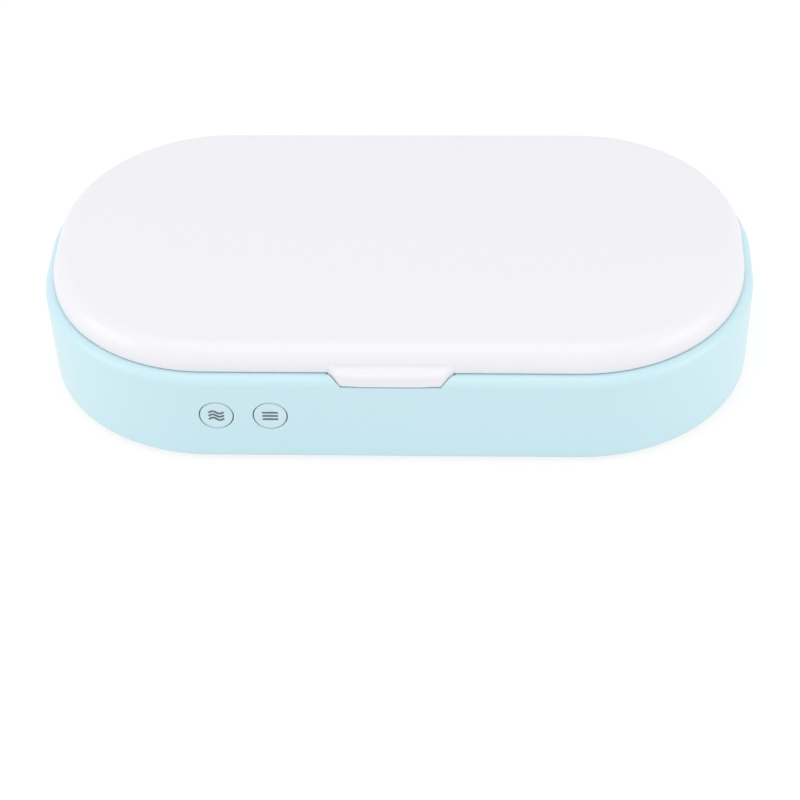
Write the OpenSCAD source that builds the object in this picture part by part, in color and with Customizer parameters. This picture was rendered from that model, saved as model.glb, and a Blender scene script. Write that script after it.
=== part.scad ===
// UV sanitizer box for phones: an oblong base with a hinged lid, two push buttons and a mirrored chamber.
// X runs along the length, Y to the rear where the hinges are, Z up. The origin is on the table, under the
// middle of the base. Every rounded outline grows from one small core rectangle: a distance "d" is measured
// outwards from that core, so d is also the corner radius of the outline at that distance.

/* [Housing] */
// Length of the base at its widest
body_l = 220; // [214:1:240]
// Width of the base at its widest
body_w = 120; // [116:1:130]
// Corner radius of the base seen from above
corner_r = 54; // [52:0.5:56]
// Wall of the base ring
wall = 2.6; // [2:0.1:3]
// How far the wall leans in at its foot
wall_draft = 0.7; // [0:0.1:1.5]
// Rounding of the base's top edge, which is also how far the lid is set in
shoulder_r = 3; // [2.5:0.1:4]
// Rounding of the base's bottom edge
foot_edge_r = 1.5; // [0.5:0.1:2]
// Flat rim that the lid's edge closes on
rim_w = 2.2; // [1.6:0.1:3]
// Ledge inside the rim that carries the chamber
ledge_w = 2; // [1.5:0.1:2.6]
// Thickness of that ledge
ledge_t = 1.8; // [1.2:0.1:2.5]
// Thickness of the bottom cover
cover_t = 2; // [1.6:0.1:3]
// Height of the room for electronics between the cover and the chamber floor
bay_h = 7.2; // [6.9:0.1:9]

/* [Chamber] */
// Depth of the chamber below the rim
chamber_depth = 20.7; // [18:0.1:26]
// Distance from the outside of the base to the chamber's side
chamber_inset = 16; // [15:0.5:17]
// Wall of the chamber
tray_t = 1.6; // [1.2:0.1:2]
// Rounding where the chamber's side meets its floor
tray_fillet = 3; // [1:0.5:4]
// Rounding of the chamber's mouth
mouth_r = 1; // [0.4:0.1:1.4]
// Thickness of the flange round the chamber's mouth
flange_t = 1.5; // [1.2:0.1:2]
// Mirror sheets in the chamber and the lid
mirror_t = 0.4; // [0.3:0.1:0.6]

/* [Lid] */
// Gap between the base's rim and the lid's edge
seam_gap = 0.3; // [0.2:0.05:0.6]
// Straight part of the lid's edge
lid_edge_h = 1.8; // [1:0.1:3]
// Rounding from the lid's edge to its top
lid_roll_r = 6.5; // [5.5:0.5:8]
// Rise of the lid's middle above that rounding
lid_crown = 1.6; // [0.8:0.1:3]
// Wall of the lid
lid_wall = 2.2; // [1.8:0.1:2.6]
// Thickness of the panel that closes the lid from below
liner_t = 1.5; // [1.2:0.1:1.8]
// Depth of the hollow in that panel over the chamber
liner_hollow = 2.6; // [1.5:0.1:3]
// Width of the seal ring
seal_w = 1.6; // [1.2:0.1:2]
// Height of the seal ring
seal_h = 1.1; // [1:0.1:1.3]

/* [Lifting lip] */
// Width of the lip at its tip
lip_w = 27.2; // [20:0.1:36]
// Length of the curve at each side of the lip
lip_curve = 5.7; // [4:0.1:8]
// How far the lip stands out past the base's face
lip_proud = 0.2; // [0:0.1:0.6]
// How far the lip reaches below the rim
lip_drop = 2.5; // [1.8:0.1:2.8]
// Gap round the lip
lip_gap = 0.4; // [0.3:0.05:0.6]

/* [Hinges] */
// Distance between the middles of the two hinges
hinge_span = 76; // [64:1:84]
// Radius of the hinge barrels
barrel_r = 1.9; // [1.8:0.1:2.1]
// Radius of the hinge pins
pin_r = 0.8; // [0.6:0.05:0.9]
// Running clearance round a pin
pin_fit = 0.05; // [0.03:0.01:0.08]
// Width of the lid's knuckle
knuckle_w = 14; // [10:0.5:18]
// Width of each lug on the base
lug_w = 5; // [4:0.5:6]
// Side gap between a knuckle and its lugs
knuckle_gap = 0.3; // [0.2:0.05:0.5]
// Depth of the hinge axis below the lid's edge
hinge_drop = 1.1; // [0.9:0.1:1.4]
// Air between the barrels and the lid's rear edge
hinge_air = 0.3; // [0.25:0.05:0.4]
// How far the stop tooth stands out of a knuckle's barrel
stop_reach = 1.1; // [0.9:0.1:1.2]
// Air left between the stop tooth and the base's rear wall when the lid is open
stop_air = 0.2; // [0.15:0.05:0.3]
// How far the lid opens before its stop meets the base, in degrees
open_angle = 105; // [95:1:110]

/* [Buttons] */
// Radius of a button
button_r = 4.95; // [4.5:0.05:5.4]
// Gap round a button
button_gap = 0.3; // [0.2:0.05:0.4]
// Distance between the buttons
button_pitch = 16.2; // [15:0.1:20]
// Distance from the end of the straight front to the middle of the pair of buttons
button_inset = 11.5; // [10:0.5:14]
// Height of the buttons below the rim
button_drop = 14.6; // [12.5:0.1:15.5]
// How far a button travels
button_travel = 0.6; // [0.4:0.05:0.8]
// Side of a key switch
switch_side = 6; // [5.5:0.1:6.5]
// Height of a key switch
switch_h = 3.4; // [3:0.1:3.8]

/* [Lamps] */
// Radius of a lamp tube
tube_r = 3.25; // [2.8:0.05:3.4]
// Glass wall of a lamp tube
tube_wall = 0.7; // [0.5:0.1:1]
// Distance from the chamber's side to a lamp's axis
lamp_inset = 10; // [9.5:0.5:12]
// Height of a lamp's axis above the chamber floor
lamp_rise = 4.4; // [4.2:0.1:5]
// Length of a metal lamp cap
cap_l = 6; // [5:0.5:8]
// Length of a rubber end boot
boot_l = 9; // [8:0.5:11]
// Clear space between a boot and the curve of the chamber's round end
boot_room = 0.6; // [0.4:0.1:4]
// Thickness of a lamp reflector
reflector_t = 0.5; // [0.4:0.1:0.7]

/* [Phone rails] */
// Distance between neighbouring rails
rail_pitch = 46; // [36:1:52]
// Thickness of a rail
rail_t = 3; // [2:0.5:4]
// Height of a rail
rail_h = 8.9; // [8.6:0.1:10]
// Material left between two windows in a rail
rail_web = 1.2; // [0.8:0.1:1.6]

/* [Scent pad] */
// Radius of the scent pad's cup
cup_r = 9; // [8:0.5:9.5]
// Height of that cup
cup_h = 4; // [3.5:0.5:6]
// Thickness of its grille
grille_t = 1.2; // [1:0.1:1.6]
// Width of a slot in the grille
slot_w = 1.3; // [1:0.1:1.5]

/* [Feet and fasteners] */
// Radius of a foot
foot_r = 6; // [5:0.5:8]
// Height that the feet lift the base
foot_h = 1.5; // [1:0.1:3]
// How deep a foot sits in the cover
foot_seat = 0.6; // [0.4:0.1:1]
// Radius of a screw's shank
screw_r = 1.1; // [0.9:0.05:1.2]
// Radius of a screw's head
head_r = 2.1; // [1.9:0.1:2.2]
// Height of a screw's head
head_h = 1.2; // [0.9:0.1:1.3]
// Radius of a latch magnet
magnet_r = 3; // [2.5:0.1:3]
// Thickness of a latch magnet
magnet_t = 2; // [1.5:0.1:2.2]
// Distance between the two latch magnets
magnet_span = 56; // [50:1:90]

/* [Electronics] */
// Thickness of the circuit boards
board_t = 1.2; // [1:0.1:1.6]
// Height of the posts under the main board
board_post_h = 2; // [1.8:0.1:2.2]
// Width of the charging socket
usb_w = 7.5; // [7:0.1:8]
// Height of the charging socket
usb_h = 2.8; // [2.5:0.1:3]
// Width of the recess for the plug's grip
port_w = 12.4; // [11:0.1:14]
// Height of the recess for the plug's grip
port_h = 7.2; // [6.6:0.1:7.4]
// Depth of the recess for the plug's grip
port_depth = 4.4; // [4.2:0.1:5]
// Diameter of a lamp wire
wire_d = 1.3; // [1:0.1:1.6]

/* [Hidden] */
$fn = 64;
slack = 0.2;              // gap round a piece that is set into another
bond = 0.05;              // how deep a moulded-on feature runs into the wall that carries it
through = 1;              // how far a cutting shape runs past the surface it cuts

// Colours
sky = [0.76, 0.91, 0.94];
white = [0.95, 0.95, 0.97];
mirror_grey = [0.83, 0.85, 0.87];
steel = [0.7, 0.71, 0.73];
clear_blue = [0.8, 0.88, 0.95, 0.5];
board_green = [0.1, 0.35, 0.22];
soft_grey = [0.55, 0.57, 0.6];
dark = [0.16, 0.17, 0.19];
copper = [0.72, 0.45, 0.2];

// The core rectangle that every outline grows from
core_x = body_l / 2 - corner_r;
core_y = body_w / 2 - corner_r;

// Heights, from the table up
cover_top = foot_h + cover_t;
tray_under = cover_top + bay_h;
floor_z = tray_under + tray_t;
seam_z = floor_z + chamber_depth;
flange_top = seam_z - 0.1;
ledge_z = flange_top - flange_t;
lid_low = seam_z + seam_gap;
roll_z = lid_low + lid_edge_h;
lid_top = roll_z + lid_roll_r + lid_crown;
lip_low = seam_z - lip_drop;
land_z = lid_low + 0.3;             // underside of the lid liner's land
land_top = land_z + liner_t;
hollow_z = land_z + liner_hollow;   // underside of the liner over the chamber

// Distances out from the core
lid_d = corner_r - shoulder_r;
rim_in_d = lid_d - rim_w;
ledge_in_d = rim_in_d - ledge_w;
flange_d = rim_in_d - slack;
wall_in_d = corner_r - wall;
foot_in_d = wall_in_d - wall_draft;
cover_d = foot_in_d - slack;
chamber_d = corner_r - chamber_inset;
liner_d = lid_d - lid_wall - slack;
roll_d = lid_d - lid_roll_r;
hollow_d = chamber_d - mouth_r;
seal_d = chamber_d + mouth_r + 3.6;   // middle of the seal ring
boss_d = wall_in_d - 3.7;             // middle of the cover's screw bosses
lid_boss_d = liner_d - 2.3;           // middle of the lid's screw bosses

// The lid's crown is one large circle that meets the rolled edge tangentially
crown_rise = lid_roll_r + lid_crown;
crown_r = (pow(roll_d, 2) + pow(crown_rise, 2) - pow(lid_roll_r, 2)) / (2 * lid_crown);
crown_angle = atan(roll_d / (crown_r - crown_rise));
crown_centre = [0, lid_top - crown_r];
roll_centre = [roll_d, roll_z];

// Lifting lip
lip_reach = shoulder_r + lip_proud;
lip_foot = lip_w / 2 + lip_curve;     // half width where the lip leaves the lid's edge

// Hinges
hinge_z = lid_low - hinge_drop;
hinge_y = core_y + lid_d + sqrt(pow(barrel_r + hinge_air, 2) - pow(hinge_drop, 2));
pin_l = knuckle_w + 2 * (lug_w + knuckle_gap);
stop_r = barrel_r + stop_reach;

// Front wall at the buttons
button_x = -(core_x - button_inset);
button_z = seam_z - button_drop;
wall_rise = seam_z - shoulder_r - foot_h;
lean = wall_draft * (1 - (button_z - foot_h) / wall_rise);
front_face = core_y + corner_r - lean;        // distance of the front face from the middle, at the buttons
front_inside = front_face - wall;
cap_flange_t = 1;
cap_flange_y = front_inside - 0.3;            // front of the button's flange
stem_l = 1.8;
plunger_r = 1.6;
plunger_fit = 0.1;
plunger_out = 0.9;                            // how far a switch's plunger stands out
switch_y = cap_flange_y - cap_flange_t - stem_l - plunger_out;   // front of the switch body
key_board_y = switch_y - switch_h;            // front of the key board
button_places = [button_x - button_pitch / 2, button_x + button_pitch / 2];

// Lamps
lamp_y = core_y + chamber_d - lamp_inset;
lamp_z = floor_z + lamp_rise;
cap_r = tube_r + 0.25;
boot_r = cap_r + 0.8;
boot_end = core_x + sqrt(pow(chamber_d - tray_fillet, 2) - pow(lamp_y + boot_r - core_y, 2)) - boot_room;
cap_end = boot_end - 1.6;                     // the boot's blind end wall
tube_end = cap_end - 0.8;                     // the glass stops short of the cap's end wall
reflector_r = lamp_rise + 1.15;               // outer radius of a reflector, which rests on the floor

// Scent cup, near the chamber's right end
cup_x = core_x + chamber_d - cup_r - 3;

// Main board, which stands on the cover, and the socket at its rear edge
board_x = 38;                                 // half length of the main board
board_front = 2;
board_z = cover_top + board_post_h;
board_top = board_z + board_t;
port_face = core_y + corner_r - wall_draft * (1 - (board_top - foot_h) / wall_rise);
port_floor = port_face - port_depth;          // bottom of the plug's recess
port_skin = 1.2;                              // wall left behind the recess
board_rear = port_floor - 9;
socket_l = 5.8;
tongue_x = 9;                                 // half width of the board's tongue under the socket
tongue_end = port_floor - port_skin - slack;
usb_z = board_top + usb_h / 2;

// Key board, upright behind the buttons
key_board_end = 9.6;                          // how far the board reaches past a button's middle
key_board_x0 = button_places[0] - key_board_end;
key_board_x1 = button_places[1] + key_board_end;
key_board_z0 = button_z - 8;
key_board_z1 = button_z + 8;
key_post_y = front_inside + bond;
sensor_l = 4;
sensor_x = key_board_x1 - 3.2;                // the lid sensor sits at the board's inner end

// Places of repeated pieces
foot_places = [for (sx = [-1, 1], sy = [-1, 1]) [sx * (core_x + 18), sy * (core_y + 30)]];
corner_bosses = [for (sx = [-1, 1], sy = [-1, 1])
    [sx * (core_x + boss_d * cos(45)), sy * (core_y + boss_d * sin(45))]];
side_bosses = [[0, -core_y - boss_d], [-24, core_y + boss_d], [24, core_y + boss_d]];
cover_bosses = concat(corner_bosses, side_bosses);
tray_posts = [for (sx = [-1, 1], sy = [-1, 1]) [sx * (core_x + 6), sy * (core_y + 8)]];
board_posts = [for (sx = [-1, 1], y = [board_front + 6, board_rear - 6]) [sx * (board_x - 5), y]];
lid_bosses = concat(
    [for (sx = [-1, 1], sy = [-1, 1])
        [sx * (core_x + lid_boss_d * cos(45)), sy * (core_y + lid_boss_d * sin(45))]],
    [[0, -core_y - lid_boss_d], [0, core_y + lid_boss_d]]);
magnet_places = [for (s = [-1, 1]) [s * magnet_span / 2, -core_y - chamber_d - 5.4]];
magnet_seat = 0.6;                    // how deep a magnet sits in the flange's underside
key_posts = [[key_board_x0 + 2.6, key_board_z1 - 2.6], [key_board_x1 - 2.6, key_board_z0 + 2.6]];
boss_r = 3.2;
lid_boss_r = 1.9;
pilot_r = screw_r - 0.05;             // a screw cuts its own thread in this hole
screw_clear = screw_r + 0.3;          // a screw passes this hole freely
head_clear = head_r + 0.25;
screw_depth = 6.5;
screw_l = 5;                          // length of a screw below its head
lid_screw_r = 0.8;
lid_head_r = 1.5;
lid_head_h = 0.8;

// ---------- Shared geometry ----------

// Points along an arc about c, from angle a0 to a1
function arc(c, r, a0, a1, n) = [for (i = [0:n]) let (a = a0 + (a1 - a0) * i / n) c + r * [cos(a), sin(a)]];

function unit(v) = v / norm(v);

// A filled outline at distance d from the core rectangle
module outline(d) {
    square([2 * (core_x + d), 2 * core_y], center = true);
    square([2 * core_x, 2 * (core_y + d)], center = true);
    for (sx = [-1, 1], sy = [-1, 1]) translate([sx * core_x, sy * core_y]) circle(r = d);
}

// A plate of that outline between two heights
module plate(d, z0, z1) translate([0, 0, z0]) linear_extrude(z1 - z0) outline(d);

// Carries a profile, drawn as [distance from the core, height], all round the core rectangle
module sweep_round() {
    for (turn = [0, 180]) rotate([0, 0, turn]) {
        translate([core_x, core_y, 0]) rotate_extrude(angle = 90) children();
        translate([-core_x, core_y, 0]) rotate([0, 0, 90]) rotate_extrude(angle = 90) children();
        translate([-core_x, core_y, 0]) rotate([90, 0, 90]) linear_extrude(2 * core_x) children();
        translate([core_x, core_y, 0]) rotate([90, 0, 0]) linear_extrude(2 * core_y) children();
    }
}

// The same for a profile that starts at the core, with the core itself filled from z0 to z1
module sweep_filled(z0, z1) {
    sweep_round() children();
    translate([-core_x, -core_y, z0]) cube([2 * core_x, 2 * core_y, z1 - z0]);
}

// A cylinder along X between two places, at height z
module rod_x(x0, x1, y, z, r) translate([x0, y, z]) rotate([0, 90, 0]) cylinder(h = x1 - x0, r = r);

// The same on the left (e = -1) or the right (e = 1), between two distances from the middle
module rod_out(e, near, far, y, z, r) rod_x(e > 0 ? near : -far, e > 0 ? far : -near, y, z, r);

// A cylinder that runs back from the front, from y0 to y1
module rod_y(x, y0, y1, z, r) translate([x, y1, z]) rotate([90, 0, 0]) cylinder(h = y1 - y0, r = r);

// A profile drawn as [Y, Z], carried along X
module along_x(x0, x1) translate([x0, 0, 0]) rotate([90, 0, 90]) linear_extrude(x1 - x0) children();

// A pan-head screw, head down, that points up from z
module screw_up(z, shank, head, h_head, length) {
    translate([0, 0, z]) difference() {
        union() {
            cylinder(h = h_head, r = head);
            cylinder(h = h_head + length, r = shank);
            translate([0, 0, h_head + length]) cylinder(h = shank * 0.6, r1 = shank, r2 = shank * 0.3);
        }
        for (a = [0, 90]) rotate([0, 0, a])
            translate([-head * 0.6, -head * 0.12, -through])
                cube([head * 1.2, head * 0.24, through + h_head * 0.5]);
    }
}

// ---------- Soft routes: wires swept along points ----------

function route_point(p, i, t) =
    let (a = p[max(i - 1, 0)], b = p[i], c = p[i + 1], d = p[min(i + 2, len(p) - 1)])
    0.5 * (2 * b + (c - a) * t + (2 * a - 5 * b + 4 * c - d) * t * t + (3 * b - 3 * c + d - a) * t * t * t);
function route(p, steps) = concat(
    [for (i = [0:len(p) - 2], k = [0:steps - 1]) route_point(p, i, k / steps)], [p[len(p) - 1]]);
function headings(p) = [for (i = [0:len(p) - 1]) unit(p[min(i + 1, len(p) - 1)] - p[max(i - 1, 0)])];
function carry(t, i, n) =
    i == len(t) ? [] : let (m = unit(n - (n * t[i]) * t[i])) concat([m], carry(t, i + 1, m));

// A wire of diameter d through the given points
module wire(points, d, sides = 8) {
    p = route(points, 4);
    t = headings(p);
    n = carry(t, 0, [0.31, 0.17, 0.94]);
    rings = len(p);
    polyhedron(
        points = [for (i = [0:rings - 1], k = [0:sides - 1]) let (a = 360 * k / sides)
            p[i] + d / 2 * (cos(a) * n[i] + sin(a) * cross(t[i], n[i]))],
        faces = concat(
            [[for (k = [0:sides - 1]) k]],
            [for (i = [0:rings - 2], k = [0:sides - 1])
                let (a = i * sides + k, b = i * sides + (k + 1) % sides) [a, a + sides, b]],
            [for (i = [0:rings - 2], k = [0:sides - 1])
                let (a = i * sides + k, b = i * sides + (k + 1) % sides) [b, a + sides, b + sides]],
            [[for (k = [sides - 1:-1:0]) (rings - 1) * sides + k]]));
}

// ---------- Base ----------

// The ring's cross-section: outside wall, rounded shoulder, rim, and the ledge for the chamber
base_profile = concat(
    [[foot_in_d, foot_h]],
    arc([corner_r - wall_draft - foot_edge_r, foot_h + foot_edge_r], foot_edge_r, -90, 0, 5),
    arc([lid_d, seam_z - shoulder_r], shoulder_r, 0, 90, 10),
    [[rim_in_d, seam_z], [rim_in_d, ledge_z], [ledge_in_d, ledge_z], [ledge_in_d, ledge_z - ledge_t],
     [wall_in_d, ledge_z - ledge_t - 1]]);

// How far the lip stands out from the lid's edge at x, from 0 to 1
function lip_share(x, grow) =
    let (t = (abs(x) - lip_w / 2 - grow) / lip_curve) t <= 0 ? 1 : t >= 1 ? 0 : (1 + cos(180 * t)) / 2;

// The lip's outline from above, grown by a gap where it is cut from the base. It reaches in behind the edge.
module lip_plan(grow, behind) {
    half = lip_foot + grow;
    steps = 12;
    edge = core_y + lid_d;
    flank = [for (i = [0:steps]) let (x = half - lip_curve * i / steps)
        [x, -edge - grow - lip_reach * lip_share(x, grow)]];
    polygon(concat(
        [[half, behind - edge]],
        flank,
        [for (i = [steps:-1:0]) [-flank[i].x, flank[i].y]],
        [[-half, behind - edge]]));
}

// One hinge lug: an eye on a bracket that runs down into the rear wall
module lug_profile() {
    translate([hinge_y, hinge_z]) circle(r = barrel_r);
    polygon([
        [hinge_y - barrel_r * cos(20), hinge_z - barrel_r * sin(20)],
        [core_y + lid_d + 0.6, seam_z - 2.2],
        [core_y + corner_r - 1.2, seam_z - 9.5],
        [core_y + corner_r - wall_draft * 0.4, seam_z - 9.5],
        [hinge_y + barrel_r * cos(10), hinge_z - barrel_r * sin(10)],
        [hinge_y, hinge_z]]);
}

module hinge_lugs() {
    for (s = [-1, 1], side = [-1, 1]) {
        inner = knuckle_w / 2 + knuckle_gap;
        x = s * hinge_span / 2 + side * (inner + lug_w / 2);
        along_x(x - lug_w / 2, x + lug_w / 2) lug_profile();
    }
}

// A block behind the rear wall that holds the plug's recess
module port_block() {
    half = port_w / 2 + 1.6;
    low = usb_z - port_h / 2 - 0.7;
    translate([-half, port_floor - port_skin, low])
        cube([2 * half, core_y + foot_in_d + 1 - port_floor + port_skin, port_h + 1.6]);
}

// The recess for the plug's grip, with rounded ends, and the window for the socket
module port_cut() {
    r = port_h / 2;
    translate([0, port_floor + 20, usb_z]) rotate([90, 0, 0]) linear_extrude(20) {
        for (s = [-1, 1]) translate([s * (port_w / 2 - r), 0]) circle(r = r);
        square([port_w - 2 * r, port_h], center = true);
    }
    translate([-usb_w / 2 - slack, port_floor - port_skin - through, usb_z - usb_h / 2 - slack])
        cube([usb_w + 2 * slack, port_skin + 2 * through, usb_h + 2 * slack]);
}

module base_shell() color(sky) difference() {
    union() {
        sweep_round() polygon(base_profile);
        for (p = cover_bosses) translate([p.x, p.y, cover_top])
            cylinder(h = ledge_z - ledge_t - cover_top + bond, r = boss_r);
        for (p = key_posts) rod_y(p.x, -key_post_y, -key_board_y, p.y, 2.2);
        hinge_lugs();
        port_block();
    }
    translate([0, 0, lip_low - lip_gap]) linear_extrude(shoulder_r + through + lip_drop)
        lip_plan(lip_gap, lip_gap);
    for (x = button_places)
        rod_y(x, -front_face - through, -front_inside + through, button_z, button_r + button_gap);
    for (p = cover_bosses) translate([p.x, p.y, cover_top - through])
        cylinder(h = screw_depth + through, r = pilot_r);
    for (p = key_posts) rod_y(p.x, -key_board_y - 4, -key_board_y + through, p.y, lid_screw_r - 0.05);
    for (s = [-1, 1]) {
        middle = s * hinge_span / 2;
        half = knuckle_w / 2 + knuckle_gap;
        rod_x(middle - pin_l / 2 - slack, middle + pin_l / 2 + slack, hinge_y, hinge_z, pin_r);
        rod_x(middle - half, middle + half, hinge_y, hinge_z, barrel_r + knuckle_gap);
    }
    port_cut();
}

module bottom_cover() color(sky) difference() {
    union() {
        plate(cover_d, foot_h, cover_top);
        for (p = board_posts) translate([p.x, p.y, cover_top - bond])
            cylinder(h = board_post_h + bond, r = 2.4);
        // a locating rib just inside the ring's wall
        sweep_round() translate([cover_d - 1.4, cover_top - bond]) square([1.2, 1 + bond]);
    }
    for (p = cover_bosses) translate([p.x, p.y, cover_top]) cylinder(h = 3, r = boss_r + slack);
    for (p = concat(cover_bosses, tray_posts)) translate([p.x, p.y, foot_h]) {
        translate([0, 0, -through]) cylinder(h = cover_t + 2 * through, r = screw_clear);
        translate([0, 0, -through]) cylinder(h = through + head_h, r = head_clear);
    }
    for (p = foot_places) translate([p.x, p.y, foot_h - through])
        cylinder(h = through + foot_seat, r = foot_r + slack / 2);
    for (p = board_posts) translate([p.x, p.y, cover_top - 0.8])
        cylinder(h = board_post_h + 2, r = lid_screw_r - 0.05);
    translate([-port_w / 2 - 2.2, core_y + cover_d - 4, cover_top]) cube([port_w + 4.4, 6, 3]);
}

module foot(i) color(soft_grey) translate([foot_places[i].x, foot_places[i].y, 0]) {
    chamfer = 0.5;
    cylinder(h = chamfer, r1 = foot_r - chamfer, r2 = foot_r);
    translate([0, 0, chamfer]) cylinder(h = foot_h + foot_seat - chamfer, r = foot_r);
}

module cover_screws() color(steel)
    for (p = cover_bosses) translate([p.x, p.y, 0]) screw_up(foot_h, screw_r, head_r, head_h, screw_l);

module tray_screws() color(steel)
    for (p = tray_posts) translate([p.x, p.y, 0]) screw_up(foot_h, screw_r, head_r, head_h, screw_l);

// ---------- Chamber ----------

tray_profile = concat(
    [[0, tray_under]],
    arc([chamber_d - tray_fillet, floor_z + tray_fillet], tray_fillet + tray_t, -90, 0, 6),
    [[chamber_d + tray_t, ledge_z], [flange_d, ledge_z], [flange_d, flange_top]],
    arc([chamber_d + mouth_r, flange_top - mouth_r], mouth_r, 90, 180, 5),
    arc([chamber_d - tray_fillet, floor_z + tray_fillet], tray_fillet, 0, -90, 6),
    [[0, floor_z]]);

wire_holes = [for (sx = [-1, 1], sy = [-1, 1]) [sx * (boot_end - 4), sy * lamp_y]];

module chamber_tray() color(white) difference() {
    union() {
        sweep_filled(tray_under, floor_z) polygon(tray_profile);
        for (p = tray_posts) translate([p.x, p.y, cover_top])
            cylinder(h = bay_h + bond, r = boss_r);
        translate([cup_x, 0, floor_z - bond]) difference() {
            cylinder(h = cup_h + bond, r = cup_r);
            cylinder(h = cup_h + through, r = cup_r - 1.2);
        }
    }
    for (p = tray_posts) translate([p.x, p.y, cover_top - through])
        cylinder(h = screw_depth + through, r = pilot_r);
    for (p = magnet_places) translate([p.x, p.y, ledge_z - through])
        cylinder(h = through + magnet_seat, r = magnet_r + slack / 2);
    for (p = wire_holes) translate([p.x, p.y, tray_under - through])
        cylinder(h = tray_t + 2 * through, r = wire_d);
}

module tray_mirror() color(mirror_grey) translate([0, 0, floor_z]) linear_extrude(mirror_t) {
    x = core_x + 12;
    y = lamp_y - reflector_r - 0.6;
    r = 4;
    square([2 * x, 2 * (y - r)], center = true);
    square([2 * (x - r), 2 * y], center = true);
    for (sx = [-1, 1], sy = [-1, 1]) translate([sx * (x - r), sy * (y - r)]) circle(r = r);
}

module base_magnet(s) color(steel)
    translate([s * magnet_span / 2, magnet_places[0].y, ledge_z + magnet_seat - magnet_t])
        cylinder(h = magnet_t, r = magnet_r);

// ---------- Lamps ----------

module lamp_tube(s) color(clear_blue) difference() {
    rod_x(-tube_end, tube_end, s * lamp_y, lamp_z, tube_r);
    rod_x(-tube_end - through, tube_end + through, s * lamp_y, lamp_z, tube_r - tube_wall);
}

// A drawn metal cup that closes each end of the glass
module lamp_caps(s) color(steel) for (e = [-1, 1]) difference() {
    rod_out(e, cap_end - cap_l, cap_end, s * lamp_y, lamp_z, cap_r);
    rod_out(e, cap_end - cap_l - through, tube_end, s * lamp_y, lamp_z, tube_r + 0.02);
}

// A rubber boot with a flat foot that holds one end of a lamp
module lamp_boot(e, s) color(soft_grey) difference() {
    union() {
        rod_out(e, boot_end - boot_l, boot_end, s * lamp_y, lamp_z, boot_r);
        translate([e * (boot_end - boot_l / 2) - boot_l / 2, s * lamp_y - boot_r, floor_z])
            cube([boot_l, 2 * boot_r, lamp_rise]);
    }
    rod_out(e, boot_end - boot_l - through, cap_end, s * lamp_y, lamp_z, cap_r + 0.02);
    translate([e * (boot_end - 4), s * lamp_y, floor_z - through])
        cylinder(h = through + lamp_rise - cap_r + slack, r = wire_d * 0.75);
}

// A bent reflector sheet behind a lamp: a strip on the chamber floor, curled up and over the outer side
module reflector(s) color(mirror_grey) {
    half = boot_end - boot_l - 0.5;
    middle = [0, reflector_r];
    curl = 40;
    strip = 3.6;
    along_x(-half, half) translate([s * lamp_y, floor_z]) scale([s, 1]) polygon(concat(
        [[-strip, 0]],
        arc(middle, reflector_r, -90, curl, 13),
        arc(middle, reflector_r - reflector_t, curl, -90, 13),
        [[-strip, reflector_t]]));
}

// A clear rail across the chamber that carries the phone above the lamps
module phone_rail(i) color(clear_blue) {
    half = lamp_y - reflector_r - 2.6;
    low = floor_z + mirror_t;
    top_r = 2;
    window = rail_h * 0.27;
    pitch = half * 0.38;
    reach = (pitch - rail_web) / 2 - window;
    along_x(i * rail_pitch - rail_t / 2, i * rail_pitch + rail_t / 2) translate([0, low]) difference() {
        union() {
            translate([-half, 0]) square([2 * half, rail_h - top_r]);
            translate([-half + top_r, 0]) square([2 * (half - top_r), rail_h]);
            for (s = [-1, 1]) translate([s * (half - top_r), rail_h - top_r]) circle(r = top_r);
        }
        for (k = [-2:2]) translate([k * pitch, rail_h * 0.46]) {
            for (e = [-1, 1]) translate([e * reach, 0]) circle(r = window);
            square([2 * reach, 2 * window], center = true);
        }
    }
}

module scent_pad() color([0.9, 0.88, 0.8])
    translate([cup_x, 0, floor_z]) cylinder(h = cup_h - 1.2, r = cup_r - 1.6);

module scent_grille() color(white) translate([cup_x, 0, floor_z + cup_h]) difference() {
    union() {
        cylinder(h = grille_t, r = cup_r);
        translate([0, 0, -0.9]) cylinder(h = 0.9 + bond, r = cup_r - 1.35);
    }
    reach = cup_r - 2.2;
    pitch = 1.9 * slot_w;
    pairs = floor((reach - slot_w / 2) / pitch);
    for (k = [-pairs:pairs]) {
        half = sqrt(pow(reach, 2) - pow(abs(k) * pitch + slot_w / 2, 2));
        translate([-half, k * pitch - slot_w / 2, -2]) cube([2 * half, slot_w, 4]);
    }
}

// ---------- Electronics ----------

module main_board() color(board_green) difference() {
    translate([0, 0, board_z]) linear_extrude(board_t) {
        translate([-board_x, board_front]) square([2 * board_x, board_rear - board_front]);
        translate([-tongue_x, board_front]) square([2 * tongue_x, tongue_end - board_front]);
    }
    for (p = board_posts) translate([p.x, p.y, board_z - through])
        cylinder(h = board_t + 2 * through, r = lid_screw_r + 0.2);
}

module charging_socket() color(steel) {
    shell = 0.3;
    y0 = port_floor - socket_l;
    difference() {
        translate([-usb_w / 2, y0, board_top]) cube([usb_w, socket_l, usb_h]);
        translate([-usb_w / 2 + shell, y0 + 1, board_top + shell])
            cube([usb_w - 2 * shell, socket_l, usb_h - 2 * shell]);
    }
    translate([-usb_w * 0.26, y0 + 1 - bond, usb_z + 0.2]) cube([usb_w * 0.52, socket_l - 1.6, 0.6]);
}

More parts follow.
